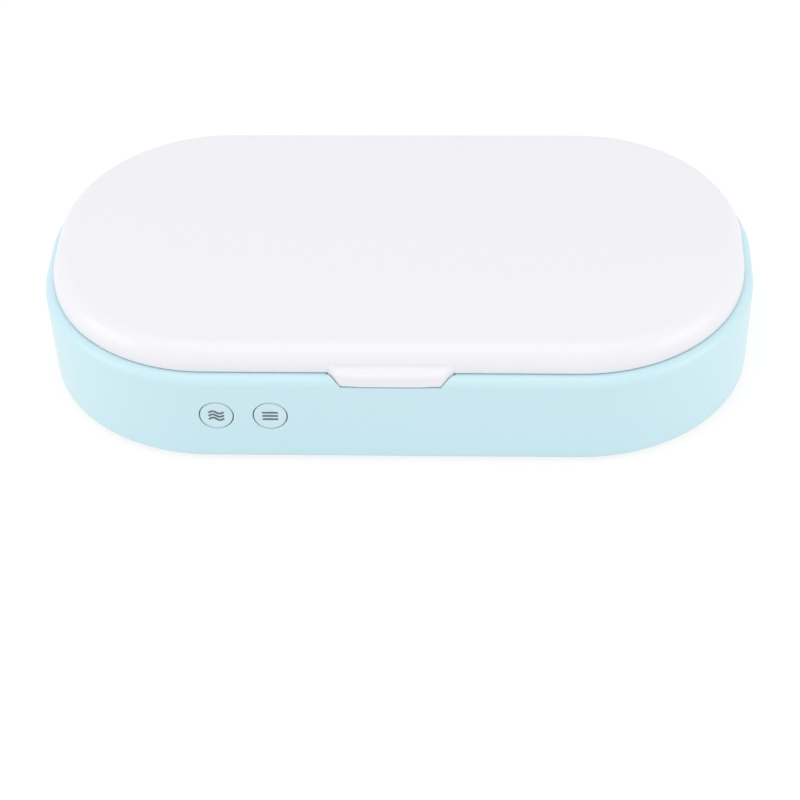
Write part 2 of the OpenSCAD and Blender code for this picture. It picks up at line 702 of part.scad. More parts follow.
transformer_place = [-17, 26];
transformer_l = 18;
transformer_w = 12;
transformer_h = 3.2;
bobbin_inset = 2;        // how far the windings stand in from the ends of the base plate
module lamp_transformer() color(dark) translate([transformer_place.x, transformer_place.y, board_top]) {
    translate([-transformer_l / 2, -transformer_w / 2, 0]) cube([transformer_l, transformer_w, 1]);
    translate([-transformer_l / 2 + bobbin_inset, -transformer_w / 2 + 1, 1 - bond])
        cube([transformer_l - 2 * bobbin_inset, transformer_w - 2, transformer_h - 1]);
    for (s = [-1, 1]) translate([s * (transformer_l / 2 - 1) - 1, -transformer_w / 2, 1 - bond])
        cube([2, transformer_w, transformer_h - 1.2]);
}

module board_capacitors() color(copper) for (x = [-4, 6]) translate([x, 30, board_top]) {
    cylinder(h = 0.6, r = 3.3);
    translate([0, 0, 0.6]) cylinder(h = 2.4, r = 3);
}

module control_chip() color(dark) translate([22, 24, board_top]) {
    translate([-5, -3, 0.2]) cube([10, 6, 1.4]);
    for (k = [0:7], s = [-1, 1]) translate([-4.6 + k * 1.27, s * 3.6 - 0.6, 0]) cube([0.4, 1.2, 0.5]);
}

// Plug housings on the board, as [x, y, the way the mouth faces]: four for the lamps, one for the key board
plug_x = board_x - 6;
front_plug_y = 18;
rear_plug_y = 30;
key_plug = [-18, 7];
plugs = [[-plug_x, front_plug_y, 180], [plug_x, front_plug_y, 0], [-plug_x, rear_plug_y, 180],
    [plug_x, rear_plug_y, 0], [key_plug.x, key_plug.y, -90]];
plug_l = 6;
plug_w = 5;
plug_side = 1;           // wall beside a plug's mouth
plug_mouth = wire_d + 0.2;
plug_axis = board_top + 0.8 + plug_mouth / 2;
module plug_housing() difference() {
    inside = plug_w - 2 * plug_side;
    translate([-plug_l / 2, -plug_w / 2, 0]) cube([plug_l, plug_w, plug_mouth + 1.6]);
    translate([0, -inside / 2, 0.8]) cube([plug_l / 2 + through, inside, plug_mouth]);
}

module board_connectors() color(white)
    for (p = plugs) translate([p.x, p.y, board_top]) rotate([0, 0, p[2]]) plug_housing();

module board_screws() color(steel)
    for (p = board_posts) translate([p.x, p.y, board_top + lid_head_h]) mirror([0, 0, 1])
        screw_up(0, lid_screw_r, lid_head_r, lid_head_h, board_t + 1.6);

// Each lamp wire starts on a lamp's cap, drops through the chamber floor and runs under it to its plug. Its
// way under the floor is given in shares of the distance from the plug's mouth to the hole, along X and Y.
wire_z = cover_top + 5.2;
module lamp_wire(s, front) {
    hole = [boot_end - 4, front ? -lamp_y : lamp_y];
    mouth = [plug_x + 7, front ? front_plug_y : rear_plug_y];
    shares = front ? [[0.81, 0.9], [0.58, 0.73], [0.43, 0.5], [0.31, 0.23], [0.15, 0.06]]
        : [[0.81, 0.88], [0.5, 0.38], [0.23, 0.1]];
    along = concat(
        [for (z = [lamp_z - cap_r, floor_z, tray_under - 0.4]) [hole.x, hole.y, z]],
        [[hole.x - 1.2, hole.y, wire_z + 0.3]],
        [for (t = shares) [mouth.x + t.x * (hole.x - mouth.x), mouth.y + t.y * (hole.y - mouth.y), wire_z]],
        [for (back = [0, 3, 7]) [mouth.x - back, mouth.y, plug_axis]]);
    wire([for (p = along) [s * p.x, p.y, p.z]], wire_d);
}

module lamp_wires(s) color(white) for (front = [true, false]) lamp_wire(s, front);

module key_cable() color(dark) {
    x = button_x;
    y = key_board_y - board_t;
    z = key_board_z0 + 1.4;
    wire([
        [x, -y, z], [x, -y + 0.8, z], [x, -y + 1.6, z], [x, -y + 3, z - 1], [x + 0.5, -y + 4.6, wire_z + 0.3],
        [x + 4, -y + 10, wire_z], [-34, -26, wire_z], [-24, -14, wire_z], [-19, -4, wire_z - 0.4],
        [key_plug.x, key_plug.y - 7, plug_axis], [key_plug.x, key_plug.y - 4, plug_axis],
        [key_plug.x, key_plug.y, plug_axis]], wire_d);
}

module key_board() color(board_green) difference() {
    translate([key_board_x0, -key_board_y, key_board_z0])
        cube([key_board_x1 - key_board_x0, board_t, key_board_z1 - key_board_z0]);
    for (p = key_posts)
        rod_y(p.x, -key_board_y - through, -key_board_y + board_t + through, p.y, lid_screw_r + 0.2);
}

module key_board_screws() color(steel) for (p = key_posts)
    translate([p.x, -key_board_y + board_t + lid_head_h, p.y]) rotate([90, 0, 0])
        screw_up(0, lid_screw_r, lid_head_r, lid_head_h, board_t + 2.6);

// The switch body with its round well, open towards the button
module key_switch(i) color(dark) difference() {
    translate([button_places[i] - switch_side / 2, -switch_y, button_z - switch_side / 2])
        cube([switch_side, switch_h, switch_side]);
    rod_y(button_places[i], -switch_y - through, -switch_y + 1.9, button_z, plunger_r + plunger_fit);
}

module plunger(i) color(dark)
    rod_y(button_places[i], -switch_y - plunger_out, -switch_y + 1, button_z, plunger_r);

// The button: a domed cap in the wall, a flange that keeps it in, and a stem on the switch
module button(i) color(sky) {
    dish = 0.15;
    rod_y(button_places[i], -front_face + dish, -cap_flange_y + bond, button_z, button_r);
    translate([button_places[i], -front_face + dish, button_z]) rotate([90, 0, 0])
        cylinder(h = dish, r1 = button_r, r2 = button_r - dish);
    rod_y(button_places[i], -cap_flange_y, -cap_flange_y + cap_flange_t, button_z, button_r + 1.2);
    rod_y(button_places[i], -cap_flange_y + cap_flange_t - bond, -switch_y - plunger_out, button_z,
        plunger_r);
}

module lid_sensor() color(dark)
    translate([sensor_x, -key_board_y - 1.2, key_board_z1 - 4]) cube([sensor_l, 1.2, 3]);

module button_lights() color([0.95, 0.95, 0.8]) for (x = button_places)
    translate([x - 0.8, -key_board_y - 0.8, button_z + switch_side / 2 + 1]) cube([1.6, 0.8, 1.2]);

// ---------- Hinges ----------

module hinge_pin(s) color(steel)
    rod_x(s * hinge_span / 2 - pin_l / 2, s * hinge_span / 2 + pin_l / 2, hinge_y, hinge_z, pin_r);

// A knuckle on the lid, with the tooth that stops the lid on the base's rear wall. The tooth is drawn as it
// stands when the lid is open, its face along the wall, and turned back to its place under a closed lid.
module knuckle_profile() difference() {
    face = core_y + corner_r + stop_air - hinge_y;
    union() {
        translate([hinge_y, hinge_z]) circle(r = barrel_r);
        polygon([
            [core_y + lid_d - 0.8, lid_low + 0.1],
            [core_y + lid_d + 0.1, lid_low + 0.1],
            [hinge_y - barrel_r * cos(25), hinge_z + barrel_r * sin(25)],
            [hinge_y, hinge_z],
            [hinge_y + barrel_r * cos(70), hinge_z + barrel_r * sin(70)],
            [core_y + lid_d - 0.55, roll_z + 2.6],
            [core_y + lid_d - 0.8, roll_z + 1]]);
        translate([hinge_y, hinge_z]) rotate(open_angle) polygon([
            [0, 0], [face, -barrel_r * 0.6], [face, -sqrt(pow(stop_r, 2) - pow(face, 2))],
            stop_r * [cos(-43), sin(-43)], [barrel_r, 0]]);
    }
    translate([hinge_y, hinge_z]) circle(r = pin_r + pin_fit);
}

// ---------- Lid ----------

crown_flat = 2;          // width of the level strip round the core, where the corners' crowns meet
lid_profile = concat(
    [[lid_d - lid_wall, lid_low], [lid_d, lid_low]],
    arc(roll_centre, lid_roll_r, 0, 90 - crown_angle, 12),
    arc(crown_centre, crown_r, 90 - crown_angle * 0.9, 90 - crown_angle * 0.1, 8),
    [[crown_flat, lid_top], [0, lid_top], [0, lid_top - lid_wall], [crown_flat, lid_top - lid_wall]],
    arc(crown_centre, crown_r - lid_wall, 90 - crown_angle * 0.1, 90 - crown_angle * 0.9, 4),
    arc(roll_centre, lid_roll_r - lid_wall, 90 - crown_angle, 0, 8));

// The lip in section: a low shelf that coves out of the lid's rolled edge, a rounded front corner and a
// face that hangs in the base's notch
lip_cut_in = 0.12;       // how deep the cove starts inside the rolled edge
lip_inside = 1.1;        // how deep the lip is rooted in the lid's wall
lip_cove_angle = 14;     // where on the rolled edge the cove starts
lip_shelf_fall = 0.95;   // how far the shelf's front corner lies below the roll's centre
lip_edge_r = 1.1;        // length of the rounding on either side of that corner

function curve(a, b, c, n) =
    [for (i = [0:n]) let (t = i / n) pow(1 - t, 2) * a + 2 * t * (1 - t) * b + t * t * c];

lip_corner = [lid_d + lip_reach, roll_z - lip_shelf_fall];
lip_back = [lid_d, roll_z + 0.15];
lip_start = roll_centre + (lid_roll_r - lip_cut_in) * [cos(lip_cove_angle), sin(lip_cove_angle)];
lip_profile = concat(
    [[lid_d - lip_inside, lid_low], [lid_d, lid_low], [lid_d, lip_low], [lip_corner.x, lip_low]],
    curve(lip_corner - [0, lip_edge_r], lip_corner, lip_corner + lip_edge_r * unit(lip_back - lip_corner), 6),
    curve(lip_back + 0.45 * (lip_corner - lip_back), lip_back, lip_start, 6),
    [for (k = [3:-1:0]) let (a = lip_cove_angle * k / 3)
        roll_centre + (lid_roll_r - lip_inside) * [cos(a), sin(a)]]);

module lip() intersection() {
    translate([0, 0, lip_low - through]) linear_extrude(lid_roll_r + roll_z - lip_low)
        lip_plan(0, 2 * lip_inside);
    along_x(-lip_foot - through, lip_foot + through) polygon([for (p = lip_profile) [-core_y - p.x, p.y]]);
}

module lid_shell() color(white) difference() {
    union() {
        sweep_filled(lid_top - lid_wall, lid_top) polygon(lid_profile);
        lip();
        for (s = [-1, 1]) along_x(s * hinge_span / 2 - knuckle_w / 2, s * hinge_span / 2 + knuckle_w / 2)
            knuckle_profile();
        for (p = lid_bosses) translate([p.x, p.y, land_top])
            cylinder(h = roll_z + lid_roll_r - lid_wall - 0.2 - land_top, r = lid_boss_r);
    }
    for (p = lid_bosses) translate([p.x, p.y, land_top - through])
        cylinder(h = through + 2.2, r = lid_screw_r - 0.05);
}

// The liner: a land over the chamber's flange, stepped up over the chamber itself
liner_profile = [
    [0, hollow_z], [hollow_d - 1, hollow_z], [hollow_d, land_z], [liner_d, land_z], [liner_d, land_top],
    [hollow_d + liner_t, land_top], [hollow_d + liner_t - 1, hollow_z + liner_t], [0, hollow_z + liner_t]];

module lid_liner() color(white) difference() {
    sweep_filled(hollow_z, hollow_z + liner_t) polygon(liner_profile);
    sweep_round() translate([seal_d - seal_w / 2, land_z - through]) square([seal_w, through + seal_h - 0.3]);
    for (p = lid_bosses) translate([p.x, p.y, land_z - through]) {
        cylinder(h = liner_t + 2 * through, r = lid_screw_r + 0.2);
        cylinder(h = through + lid_head_h, r = lid_head_r + 0.15);
    }
}

module lid_mirror() color(mirror_grey) plate(hollow_d - 2.4, hollow_z - mirror_t, hollow_z);

module lid_seal() color(soft_grey) sweep_round()
    translate([seal_d - seal_w / 2, land_z - 0.3]) square([seal_w, seal_h]);

module lid_magnet(s) color(steel)
    translate([s * magnet_span / 2, magnet_places[0].y, land_top]) cylinder(h = magnet_t, r = magnet_r);

module lid_screws() color(steel)
    for (p = lid_bosses) translate([p.x, p.y, 0])
        screw_up(land_z, lid_screw_r, lid_head_r, lid_head_h, liner_t + 0.6);

// ---------- Nodes ----------

base_shell();
bottom_cover();
chamber_tray();
tray_mirror();
foot(0);  // foot_front_left
foot(2);  // foot_front_right
foot(1);  // foot_rear_left
foot(3);  // foot_rear_right
cover_screws();
tray_screws();
base_magnet(-1);  // base_magnet_left
base_magnet(1);  // base_magnet_right
lamp_tube(-1);  // front_lamp_tube
lamp_tube(1);  // rear_lamp_tube
lamp_caps(-1);  // front_lamp_caps
lamp_caps(1);  // rear_lamp_caps
lamp_boot(-1, -1);  // lamp_boot_front_left
lamp_boot(1, -1);  // lamp_boot_front_right
lamp_boot(-1, 1);  // lamp_boot_rear_left
lamp_boot(1, 1);  // lamp_boot_rear_right
reflector(-1);  // front_reflector
reflector(1);  // rear_reflector
phone_rail(-1);  // phone_rail_left
phone_rail(0);  // phone_rail_middle
phone_rail(1);  // phone_rail_right
scent_pad();
scent_grille();
main_board();
charging_socket();
lamp_transformer();
board_capacitors();
control_chip();
board_connectors();
board_screws();
lamp_wires(-1);  // left_lamp_wires
lamp_wires(1);  // right_lamp_wires
key_cable();
key_board();
key_board_screws();
key_switch(1);  // sterilize_switch
key_switch(0);  // scent_switch
lid_sensor();
button_lights();
hinge_pin(-1);  // hinge_pin_left
hinge_pin(1);  // hinge_pin_right
lid_shell();
lid_liner();
lid_mirror();
lid_seal();
lid_magnet(-1);  // lid_magnet_left
lid_magnet(1);  // lid_magnet_right
lid_screws();
button(1);  // sterilize_button
button(0);  // scent_button
plunger(1);  // sterilize_plunger
plunger(0);  // scent_plunger
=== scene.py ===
"""UV sanitizer box for phones: an oblong sky-blue base, a white lid on two rear hinges, two push buttons.

Everything is in metres in the part's own frame: X along the length, Y to the rear, Z up from the table.
Sizes below are written in millimetres and turned into metres where a mesh is made.
"""
import math

import bmesh
import bpy
from bpy.props import FloatProperty, FloatVectorProperty, IntProperty, PointerProperty
from mathutils import Matrix, Vector


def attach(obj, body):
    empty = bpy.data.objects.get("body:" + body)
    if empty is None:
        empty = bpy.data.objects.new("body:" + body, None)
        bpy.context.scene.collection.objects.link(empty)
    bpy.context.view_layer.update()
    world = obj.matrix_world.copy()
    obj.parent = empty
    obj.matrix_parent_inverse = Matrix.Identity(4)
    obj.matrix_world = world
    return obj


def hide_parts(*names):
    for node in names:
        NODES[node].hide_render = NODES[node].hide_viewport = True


bl_info = {
    "name": "UV Sanitizer Box",
    "version": (1, 0, 0),
    "blender": (4, 5, 0),
    "location": "3D View > Sidebar > Sanitizer Box",
    "description": "Dresses the packed sanitizer box and sets its studio stage",
    "category": "Object",
}

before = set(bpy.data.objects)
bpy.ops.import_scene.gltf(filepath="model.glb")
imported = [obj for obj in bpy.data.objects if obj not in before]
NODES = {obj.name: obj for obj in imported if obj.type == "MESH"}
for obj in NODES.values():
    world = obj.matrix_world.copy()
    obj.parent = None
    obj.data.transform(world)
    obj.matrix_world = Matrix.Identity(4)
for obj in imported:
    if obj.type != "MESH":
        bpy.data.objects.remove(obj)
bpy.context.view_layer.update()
MM = 0.001
SMOOTH_ANGLE = math.radians(32)    # what bends by less than this is shaded smooth


def srgb(red, green, blue):
    """An 8-bit display colour as the linear colour that a shader takes."""
    def linear(v):
        v /= 255
        return v / 12.92 if v <= 0.04045 else ((v + 0.055) / 1.055) ** 2.4
    return (linear(red), linear(green), linear(blue))


# ---------- Settings ----------

class HousingSettings(bpy.types.PropertyGroup):
    """Sizes of the moulded housing and the colours of its plastics."""
    half_straight_x: FloatProperty(
        name="Half straight length", description="Half the straight part of the long sides",
        default=0.056, min=0.04, max=0.07, unit="LENGTH", precision=4)
    half_straight_y: FloatProperty(
        name="Half straight width", description="Half the straight part of the round ends",
        default=0.006, min=0.0, max=0.02, unit="LENGTH", precision=4)
    corner_steps: IntProperty(
        name="Corner steps", description="Facets in each quarter turn of the outline",
        default=40, min=8, max=96)
    base_colour: FloatVectorProperty(
        name="Base colour", description="Sky blue of the moulded base",
        default=srgb(200, 230, 238), size=3, min=0, max=1, subtype="COLOR")
    lid_colour: FloatVectorProperty(
        name="Lid colour", description="Cool white of the lid",
        default=srgb(236, 235, 240), size=3, min=0, max=1, subtype="COLOR")
    inner_colour: FloatVectorProperty(
        name="Inner colour", description="White of the chamber and the lid's lining",
        default=srgb(236, 237, 239), size=3, min=0, max=1, subtype="COLOR")
    button_colour: FloatVectorProperty(
        name="Button colour", description="Paler, greyer blue of the two buttons",
        default=srgb(205, 228, 236), size=3, min=0, max=1, subtype="COLOR")
    icon_colour: FloatVectorProperty(
        name="Icon colour", description="Printed grey of the signs on the buttons",
        default=srgb(86, 102, 112), size=3, min=0, max=1, subtype="COLOR")


class SurfaceSettings(bpy.types.PropertyGroup):
    """Scale and strength of the fine relief on the finishes."""
    grain: FloatProperty(
        name="Grain size", description="Size of the fine grain of the moulded plastic",
        default=0.0006, min=0.0001, max=0.003, unit="LENGTH", precision=5)
    grain_depth: FloatProperty(
        name="Grain depth", description="Height of the fine grain",
        default=0.000005, min=0.0, max=0.0001, unit="LENGTH", precision=6)
    plastic_roughness: FloatProperty(
        name="Plastic roughness", description="Roughness of the satin plastics",
        default=0.32, min=0.05, max=1, subtype="FACTOR")
    mirror_roughness: FloatProperty(
        name="Mirror roughness", description="Roughness of the mirror sheets",
        default=0.07, min=0.0, max=0.5, subtype="FACTOR")


class StageSettings(bpy.types.PropertyGroup):
    """The studio round the object."""
    floor_colour: FloatVectorProperty(
        name="Floor colour", description="Pale floor under the object",
        default=(0.92, 0.92, 0.92), size=3, min=0, max=1, subtype="COLOR")
    world_light: FloatProperty(
        name="World light", description="Level of the light from all round",
        default=0.82, min=0, max=2)
    key_power: FloatProperty(
        name="Key power", description="Power of the large lamp above and in front",
        default=3.8, min=0, max=100, unit="POWER")
    fill_power: FloatProperty(
        name="Fill power", description="Power of the lamps at the left and the right",
        default=2.3, min=0, max=100, unit="POWER")


# ---------- Node trees ----------

class Field:
    """A socket of a node tree that takes part in Python arithmetic: each expression adds its Math nodes."""

    def __init__(self, tree, socket=None):
        self.tree, self.socket = tree, socket

    def add(self, kind, settings=None, values=None, out=0):
        """Adds a node of that type, with its settings first and then the values or links of its sockets."""
        node = self.tree.nodes.new(kind)
        for name, value in (settings or {}).items():
            setattr(node, name, value)
        for name, value in (values or {}).items():
            if isinstance(value, Field):
                self.tree.links.new(value.socket, node.inputs[name])
            else:
                node.inputs[name].default_value = value
        return Field(self.tree, node.outputs[out]) if node.outputs else Field(self.tree)

    def other(self, out):
        """Another output of the node that this socket belongs to."""
        return Field(self.tree, self.socket.node.outputs[out])

    def math(self, operation, a, b=0.0):
        """One Math node."""
        return self.add("ShaderNodeMath", {"operation": operation}, {0: a, 1: b})

    def __add__(self, other):
        return self.math("ADD", self, other)

    def __sub__(self, other):
        return self.math("SUBTRACT", self, other)

    def __mul__(self, other):
        return self.math("MULTIPLY", self, other)

    def __truediv__(self, other):
        return self.math("DIVIDE", self, other)


def blend_colour(field, factor, first, second):
    """A colour between two others, by a mask."""
    return field.add("ShaderNodeMix", {"data_type": "RGBA"},
                     {0: factor, 6: (*first, 1) if isinstance(first, tuple) else first,
                      7: (*second, 1) if isinstance(second, tuple) else second}, out=2)


def seen_directly(field):
    """1 for rays from the camera, or by way of a mirror or glass, and 0 for rays that carry light."""
    path = field.add("ShaderNodeLightPath", out="Is Camera Ray")
    seen = field.math("MAXIMUM", path, path.other("Is Glossy Ray"))
    return field.math("MAXIMUM", seen, path.other("Is Transmission Ray"))


# ---------- Finishes ----------

def shade(colour, amount):
    """A colour made darker or lighter by a share."""
    return tuple(min(1.0, c * amount) for c in colour)


class Finish:
    """A material in the making: its tree, the place on the piece in metres, and its shader."""

    def __init__(self, name, **constants):
        self.material = bpy.data.materials.new(name + "_finish")
        self.material.use_nodes = True
        tree = self.material.node_tree
        tree.nodes.clear()
        self.field = Field(tree)
        self.place = self.field.add("ShaderNodeTexCoord", out="Object")
        self.output = tree.nodes.new("ShaderNodeOutputMaterial")
        self.shader = tree.nodes.new("ShaderNodeBsdfPrincipled")
        tree.links.new(self.shader.outputs[0], self.output.inputs["Surface"])
        for socket, value in constants.items():
            self.set(socket.replace("_", " "), value)

    def set(self, socket, value):
        """Links a field to one of the shader's sockets, or sets its plain value."""
        target = self.shader.inputs[socket]
        if isinstance(value, Field):
            self.field.tree.links.new(value.socket, target)
        elif isinstance(value, tuple) and len(value) == 3 and len(target.default_value) == 4:
            target.default_value = (*value, 1)
        else:
            target.default_value = value

    def noise(self, size, detail=2.0, roughness=0.5, stretch=(1, 1, 1), distortion=0.0):
        """Noise whose features are about that size in metres, longer where stretch is above 1."""
        place = self.place
        if stretch != (1, 1, 1):
            place = self.field.add("ShaderNodeMapping", {"vector_type": "POINT"},
                                   {"Vector": place, "Scale": tuple(1 / s for s in stretch)})
        return self.field.add("ShaderNodeTexNoise", None,
                              {"Vector": place, "Scale": 1 / size, "Detail": detail, "Roughness": roughness,
                               "Distortion": distortion})

    def mask(self, value, low, high):
        """0 below low, 1 above high, smooth between."""
        return self.field.add("ShaderNodeMapRange", {"interpolation_type": "SMOOTHSTEP"},
                              {"Value": value, "From Min": low, "From Max": high})

    def mottle(self, factor, colour, low, high):
        """Varies the colour between a darker and a lighter shade of itself."""
        self.set("Base Color", blend_colour(self.field, factor, shade(colour, low), shade(colour, high)))

    def relief(self, height, distance):
        """Fine relief: the height field is scaled by a distance in metres."""
        self.set("Normal", self.field.add("ShaderNodeBump", None, {"Distance": distance, "Height": height}))


def moulded_plastic(name, colour, roughness, surface, coat=0.0, tint=0.012):
    """Satin injection-moulded plastic: fine grain, faint flow marks and hairline scuffs."""
    finish = Finish(name, IOR=1.5, Coat_Roughness=0.12)
    flow = finish.noise(0.05, detail=3.0, stretch=(2.2, 1, 1))
    grain = finish.noise(surface.grain, detail=2.0)
    scuff = finish.noise(0.004, detail=4.0, roughness=0.65, stretch=(7, 1, 1), distortion=0.4)
    hair = finish.mask(scuff, 0.66, 0.74)
    finish.mottle(flow, colour, 1 - tint, 1 + tint)
    finish.set("Roughness", flow * 0.06 + grain * 0.05 + hair * 0.08 + (roughness - 0.055))
    if coat:
        finish.set("Coat Weight", coat)
    finish.relief(grain + flow * 0.4 - hair * 0.25, surface.grain_depth)
    return finish.material


def mirror_sheet(name, surface):
    """Bright reflective foil on a board: slightly wavy, with a few fine rub marks."""
    finish = Finish(name, Metallic=1.0)
    wave = finish.noise(0.03, detail=1.0)
    rub = finish.mask(finish.noise(0.003, detail=5.0, roughness=0.7, stretch=(9, 1, 1)), 0.66, 0.8)
    finish.set("Base Color", blend_colour(finish.field, rub, (0.8, 0.82, 0.84), (0.74, 0.76, 0.78)))
    finish.set("Roughness", wave * 0.03 + rub * 0.1 + surface.mirror_roughness)
    finish.relief(wave, 0.00012)
    return finish.material


def bright_steel(name, colour=(0.72, 0.73, 0.75), roughness=0.24, stretch=(1, 1, 1), grain=0.0005):
    """Plated or drawn steel with fine tool lines and dull patches."""
    finish = Finish(name, Metallic=1.0)
    lines = finish.noise(grain, detail=3.0, stretch=stretch)
    dull = finish.noise(0.004, detail=3.0)
    finish.mottle(dull, colour, 0.88, 1.06)
    finish.set("Roughness", lines * 0.1 + dull * 0.12 + (roughness - 0.1))
    finish.relief(lines, 0.00001)
    return finish.material


def clear_glass(name, colour, roughness=0.02, haze=None, clarity=1.0):
    """Clear quartz or acrylic with faint draw lines; haze frosts the ends between two distances."""
    finish = Finish(name, IOR=1.46, Transmission_Weight=clarity)
    streak = finish.noise(0.002, detail=3.0, stretch=(14, 1, 1))
    finish.mottle(streak, colour, 0.97, 1)
    rough = streak * 0.03 + roughness
    if haze:
        along = finish.field.add("ShaderNodeSeparateXYZ", None, {"Vector": finish.place})
        reach = finish.field.math("ABSOLUTE", along)
        rough = rough + finish.mask(reach, haze[0], haze[1]) * 0.35
    finish.set("Roughness", rough)
    finish.relief(streak, 0.00002)
    return finish.material


def soft_rubber(name, colour):
    """Matt moulded rubber with a fine grain, paler where it is rubbed or dusty."""
    finish = Finish(name, IOR=1.45, Specular_IOR_Level=0.35)
    grit = finish.noise(0.0009, detail=4.0, roughness=0.6)
    dust = finish.mask(finish.noise(0.003, detail=5.0, roughness=0.7), 0.5, 0.72)
    finish.mottle(dust, colour, 1, 1.12)
    finish.set("Roughness", grit * 0.16 + dust * 0.08 + 0.62)
    finish.relief(grit, 0.00004)
    return finish.material


def pressed_felt(name, colour):
    """Pressed wool felt: short tangled fibres in two directions."""
    finish = Finish(name, Specular_IOR_Level=0.2, Sheen_Weight=0.35, Sheen_Roughness=0.5)
    fibre = finish.noise(0.0007, detail=4.0, roughness=0.75, stretch=(4, 1, 1), distortion=1.5)
    cross = finish.noise(0.0007, detail=4.0, roughness=0.75, stretch=(1, 4, 1), distortion=1.5)
    tangle = finish.field.math("MAXIMUM", fibre, cross)
    finish.mottle(tangle, colour, 0.72, 1.1)
    finish.set("Roughness", tangle * 0.1 + 0.85)
    finish.relief(tangle, 0.00025)
    return finish.material


def circuit_board(name, colour):
    """Green solder mask over copper tracks, with tinned pads on a 2.54 mm grid."""
    finish = Finish(name, IOR=1.5, Coat_Roughness=0.15)
    tracks = finish.field.add("ShaderNodeTexBrick", {"offset": 0.5, "squash": 0.6, "squash_frequency": 3},
                              {"Vector": finish.place, "Scale": 180.0, "Color1": (1, 1, 1, 1),
                               "Color2": (1, 1, 1, 1), "Mortar": (0, 0, 0, 1), "Mortar Size": 0.09,
                               "Mortar Smooth": 0.2, "Brick Width": 0.9, "Row Height": 0.42}, out="Fac")
    dots = finish.field.add("ShaderNodeTexVoronoi", {"feature": "DISTANCE_TO_EDGE"},
                            {"Vector": finish.place, "Scale": 260.0, "Randomness": 0.0}, out="Distance")
    pads = finish.mask(dots, 0.34, 0.4) * finish.mask(finish.noise(0.011, detail=1.0), 0.5, 0.53)
    weave = finish.noise(0.0012, detail=2.0)
    green = blend_colour(finish.field, tracks, shade(colour, 0.72), shade(colour, 1.35))
    finish.set("Base Color", blend_colour(finish.field, pads, green, (0.72, 0.7, 0.66)))
    finish.set("Metallic", pads * 0.9)
    finish.set("Roughness", pads * -0.12 + weave * 0.08 + 0.34)
    finish.relief(tracks * 0.5 + pads + weave * 0.15, 0.00003)
    return finish.material


def printed_sign(name, colour):
    """Pad-printed ink: slightly uneven film on the plastic."""
    finish = Finish(name, IOR=1.5)
    film = finish.noise(0.0009, detail=3.0)
    finish.mottle(film, colour, 0.88, 1.12)
    finish.set("Roughness", film * 0.12 + 0.38)
    finish.relief(film, 0.00001)
    return finish.material


def lens_plastic(name):
    """Milky cast lens of an indicator light."""
    finish = Finish(name, IOR=1.5, Coat_Roughness=0.1)
    depth = finish.noise(0.0008, detail=2.0)
    finish.set("Base Color", blend_colour(finish.field, depth, (0.78, 0.78, 0.6), (0.93, 0.93, 0.82)))
    finish.set("Roughness", depth * 0.1 + 0.18)
    finish.relief(depth, 0.00001)
    return finish.material


def make_finishes(housing, surface):
    """Every finish of the object by name."""
    rough = surface.plastic_roughness
    sky, lid, inner = tuple(housing.base_colour), tuple(housing.lid_colour), tuple(housing.inner_colour)
    button, icon = tuple(housing.button_colour), tuple(housing.icon_colour)
    dark, wire, tin = (0.018, 0.019, 0.022), (0.78, 0.78, 0.77), (0.74, 0.75, 0.77)
    return {
        "sky_plastic": moulded_plastic("sky_plastic", sky, rough, surface, coat=0.15),
        "lid_plastic": moulded_plastic("lid_plastic", lid, rough - 0.04, surface, coat=0.2, tint=0.006),
        "white_plastic": moulded_plastic("white_plastic", inner, rough + 0.08, surface),
        "button_plastic": moulded_plastic("button_plastic", button, rough - 0.02, surface, coat=0.15),
        "dark_plastic": moulded_plastic("dark_plastic", dark, 0.45, surface, tint=0.2),
        "wire_cover": moulded_plastic("wire_cover", wire, 0.42, surface),
        "mirror_sheet": mirror_sheet("mirror_sheet", surface),
        "steel": bright_steel("steel"),
        "tin_can": bright_steel("tin_can", tin, 0.3, stretch=(1, 1, 20), grain=0.0008),
        "quartz_glass": clear_glass("quartz_glass", (0.95, 0.97, 0.99), haze=(0.056, 0.0615)),
        "clear_plastic": clear_glass("clear_plastic", srgb(236, 243, 247), roughness=0.3, clarity=0.45),
        "foot_rubber": soft_rubber("foot_rubber", srgb(222, 226, 230)),
        "boot_rubber": soft_rubber("boot_rubber", srgb(230, 230, 232)),
        "seal_rubber": soft_rubber("seal_rubber", srgb(196, 200, 204)),
        "felt": pressed_felt("felt", srgb(234, 228, 210)),
        "circuit_board": circuit_board("circuit_board", (0.02, 0.11, 0.05)),
        "light_lens": lens_plastic("light_lens"),
        "printed_sign": printed_sign("printed_sign", icon),
    }


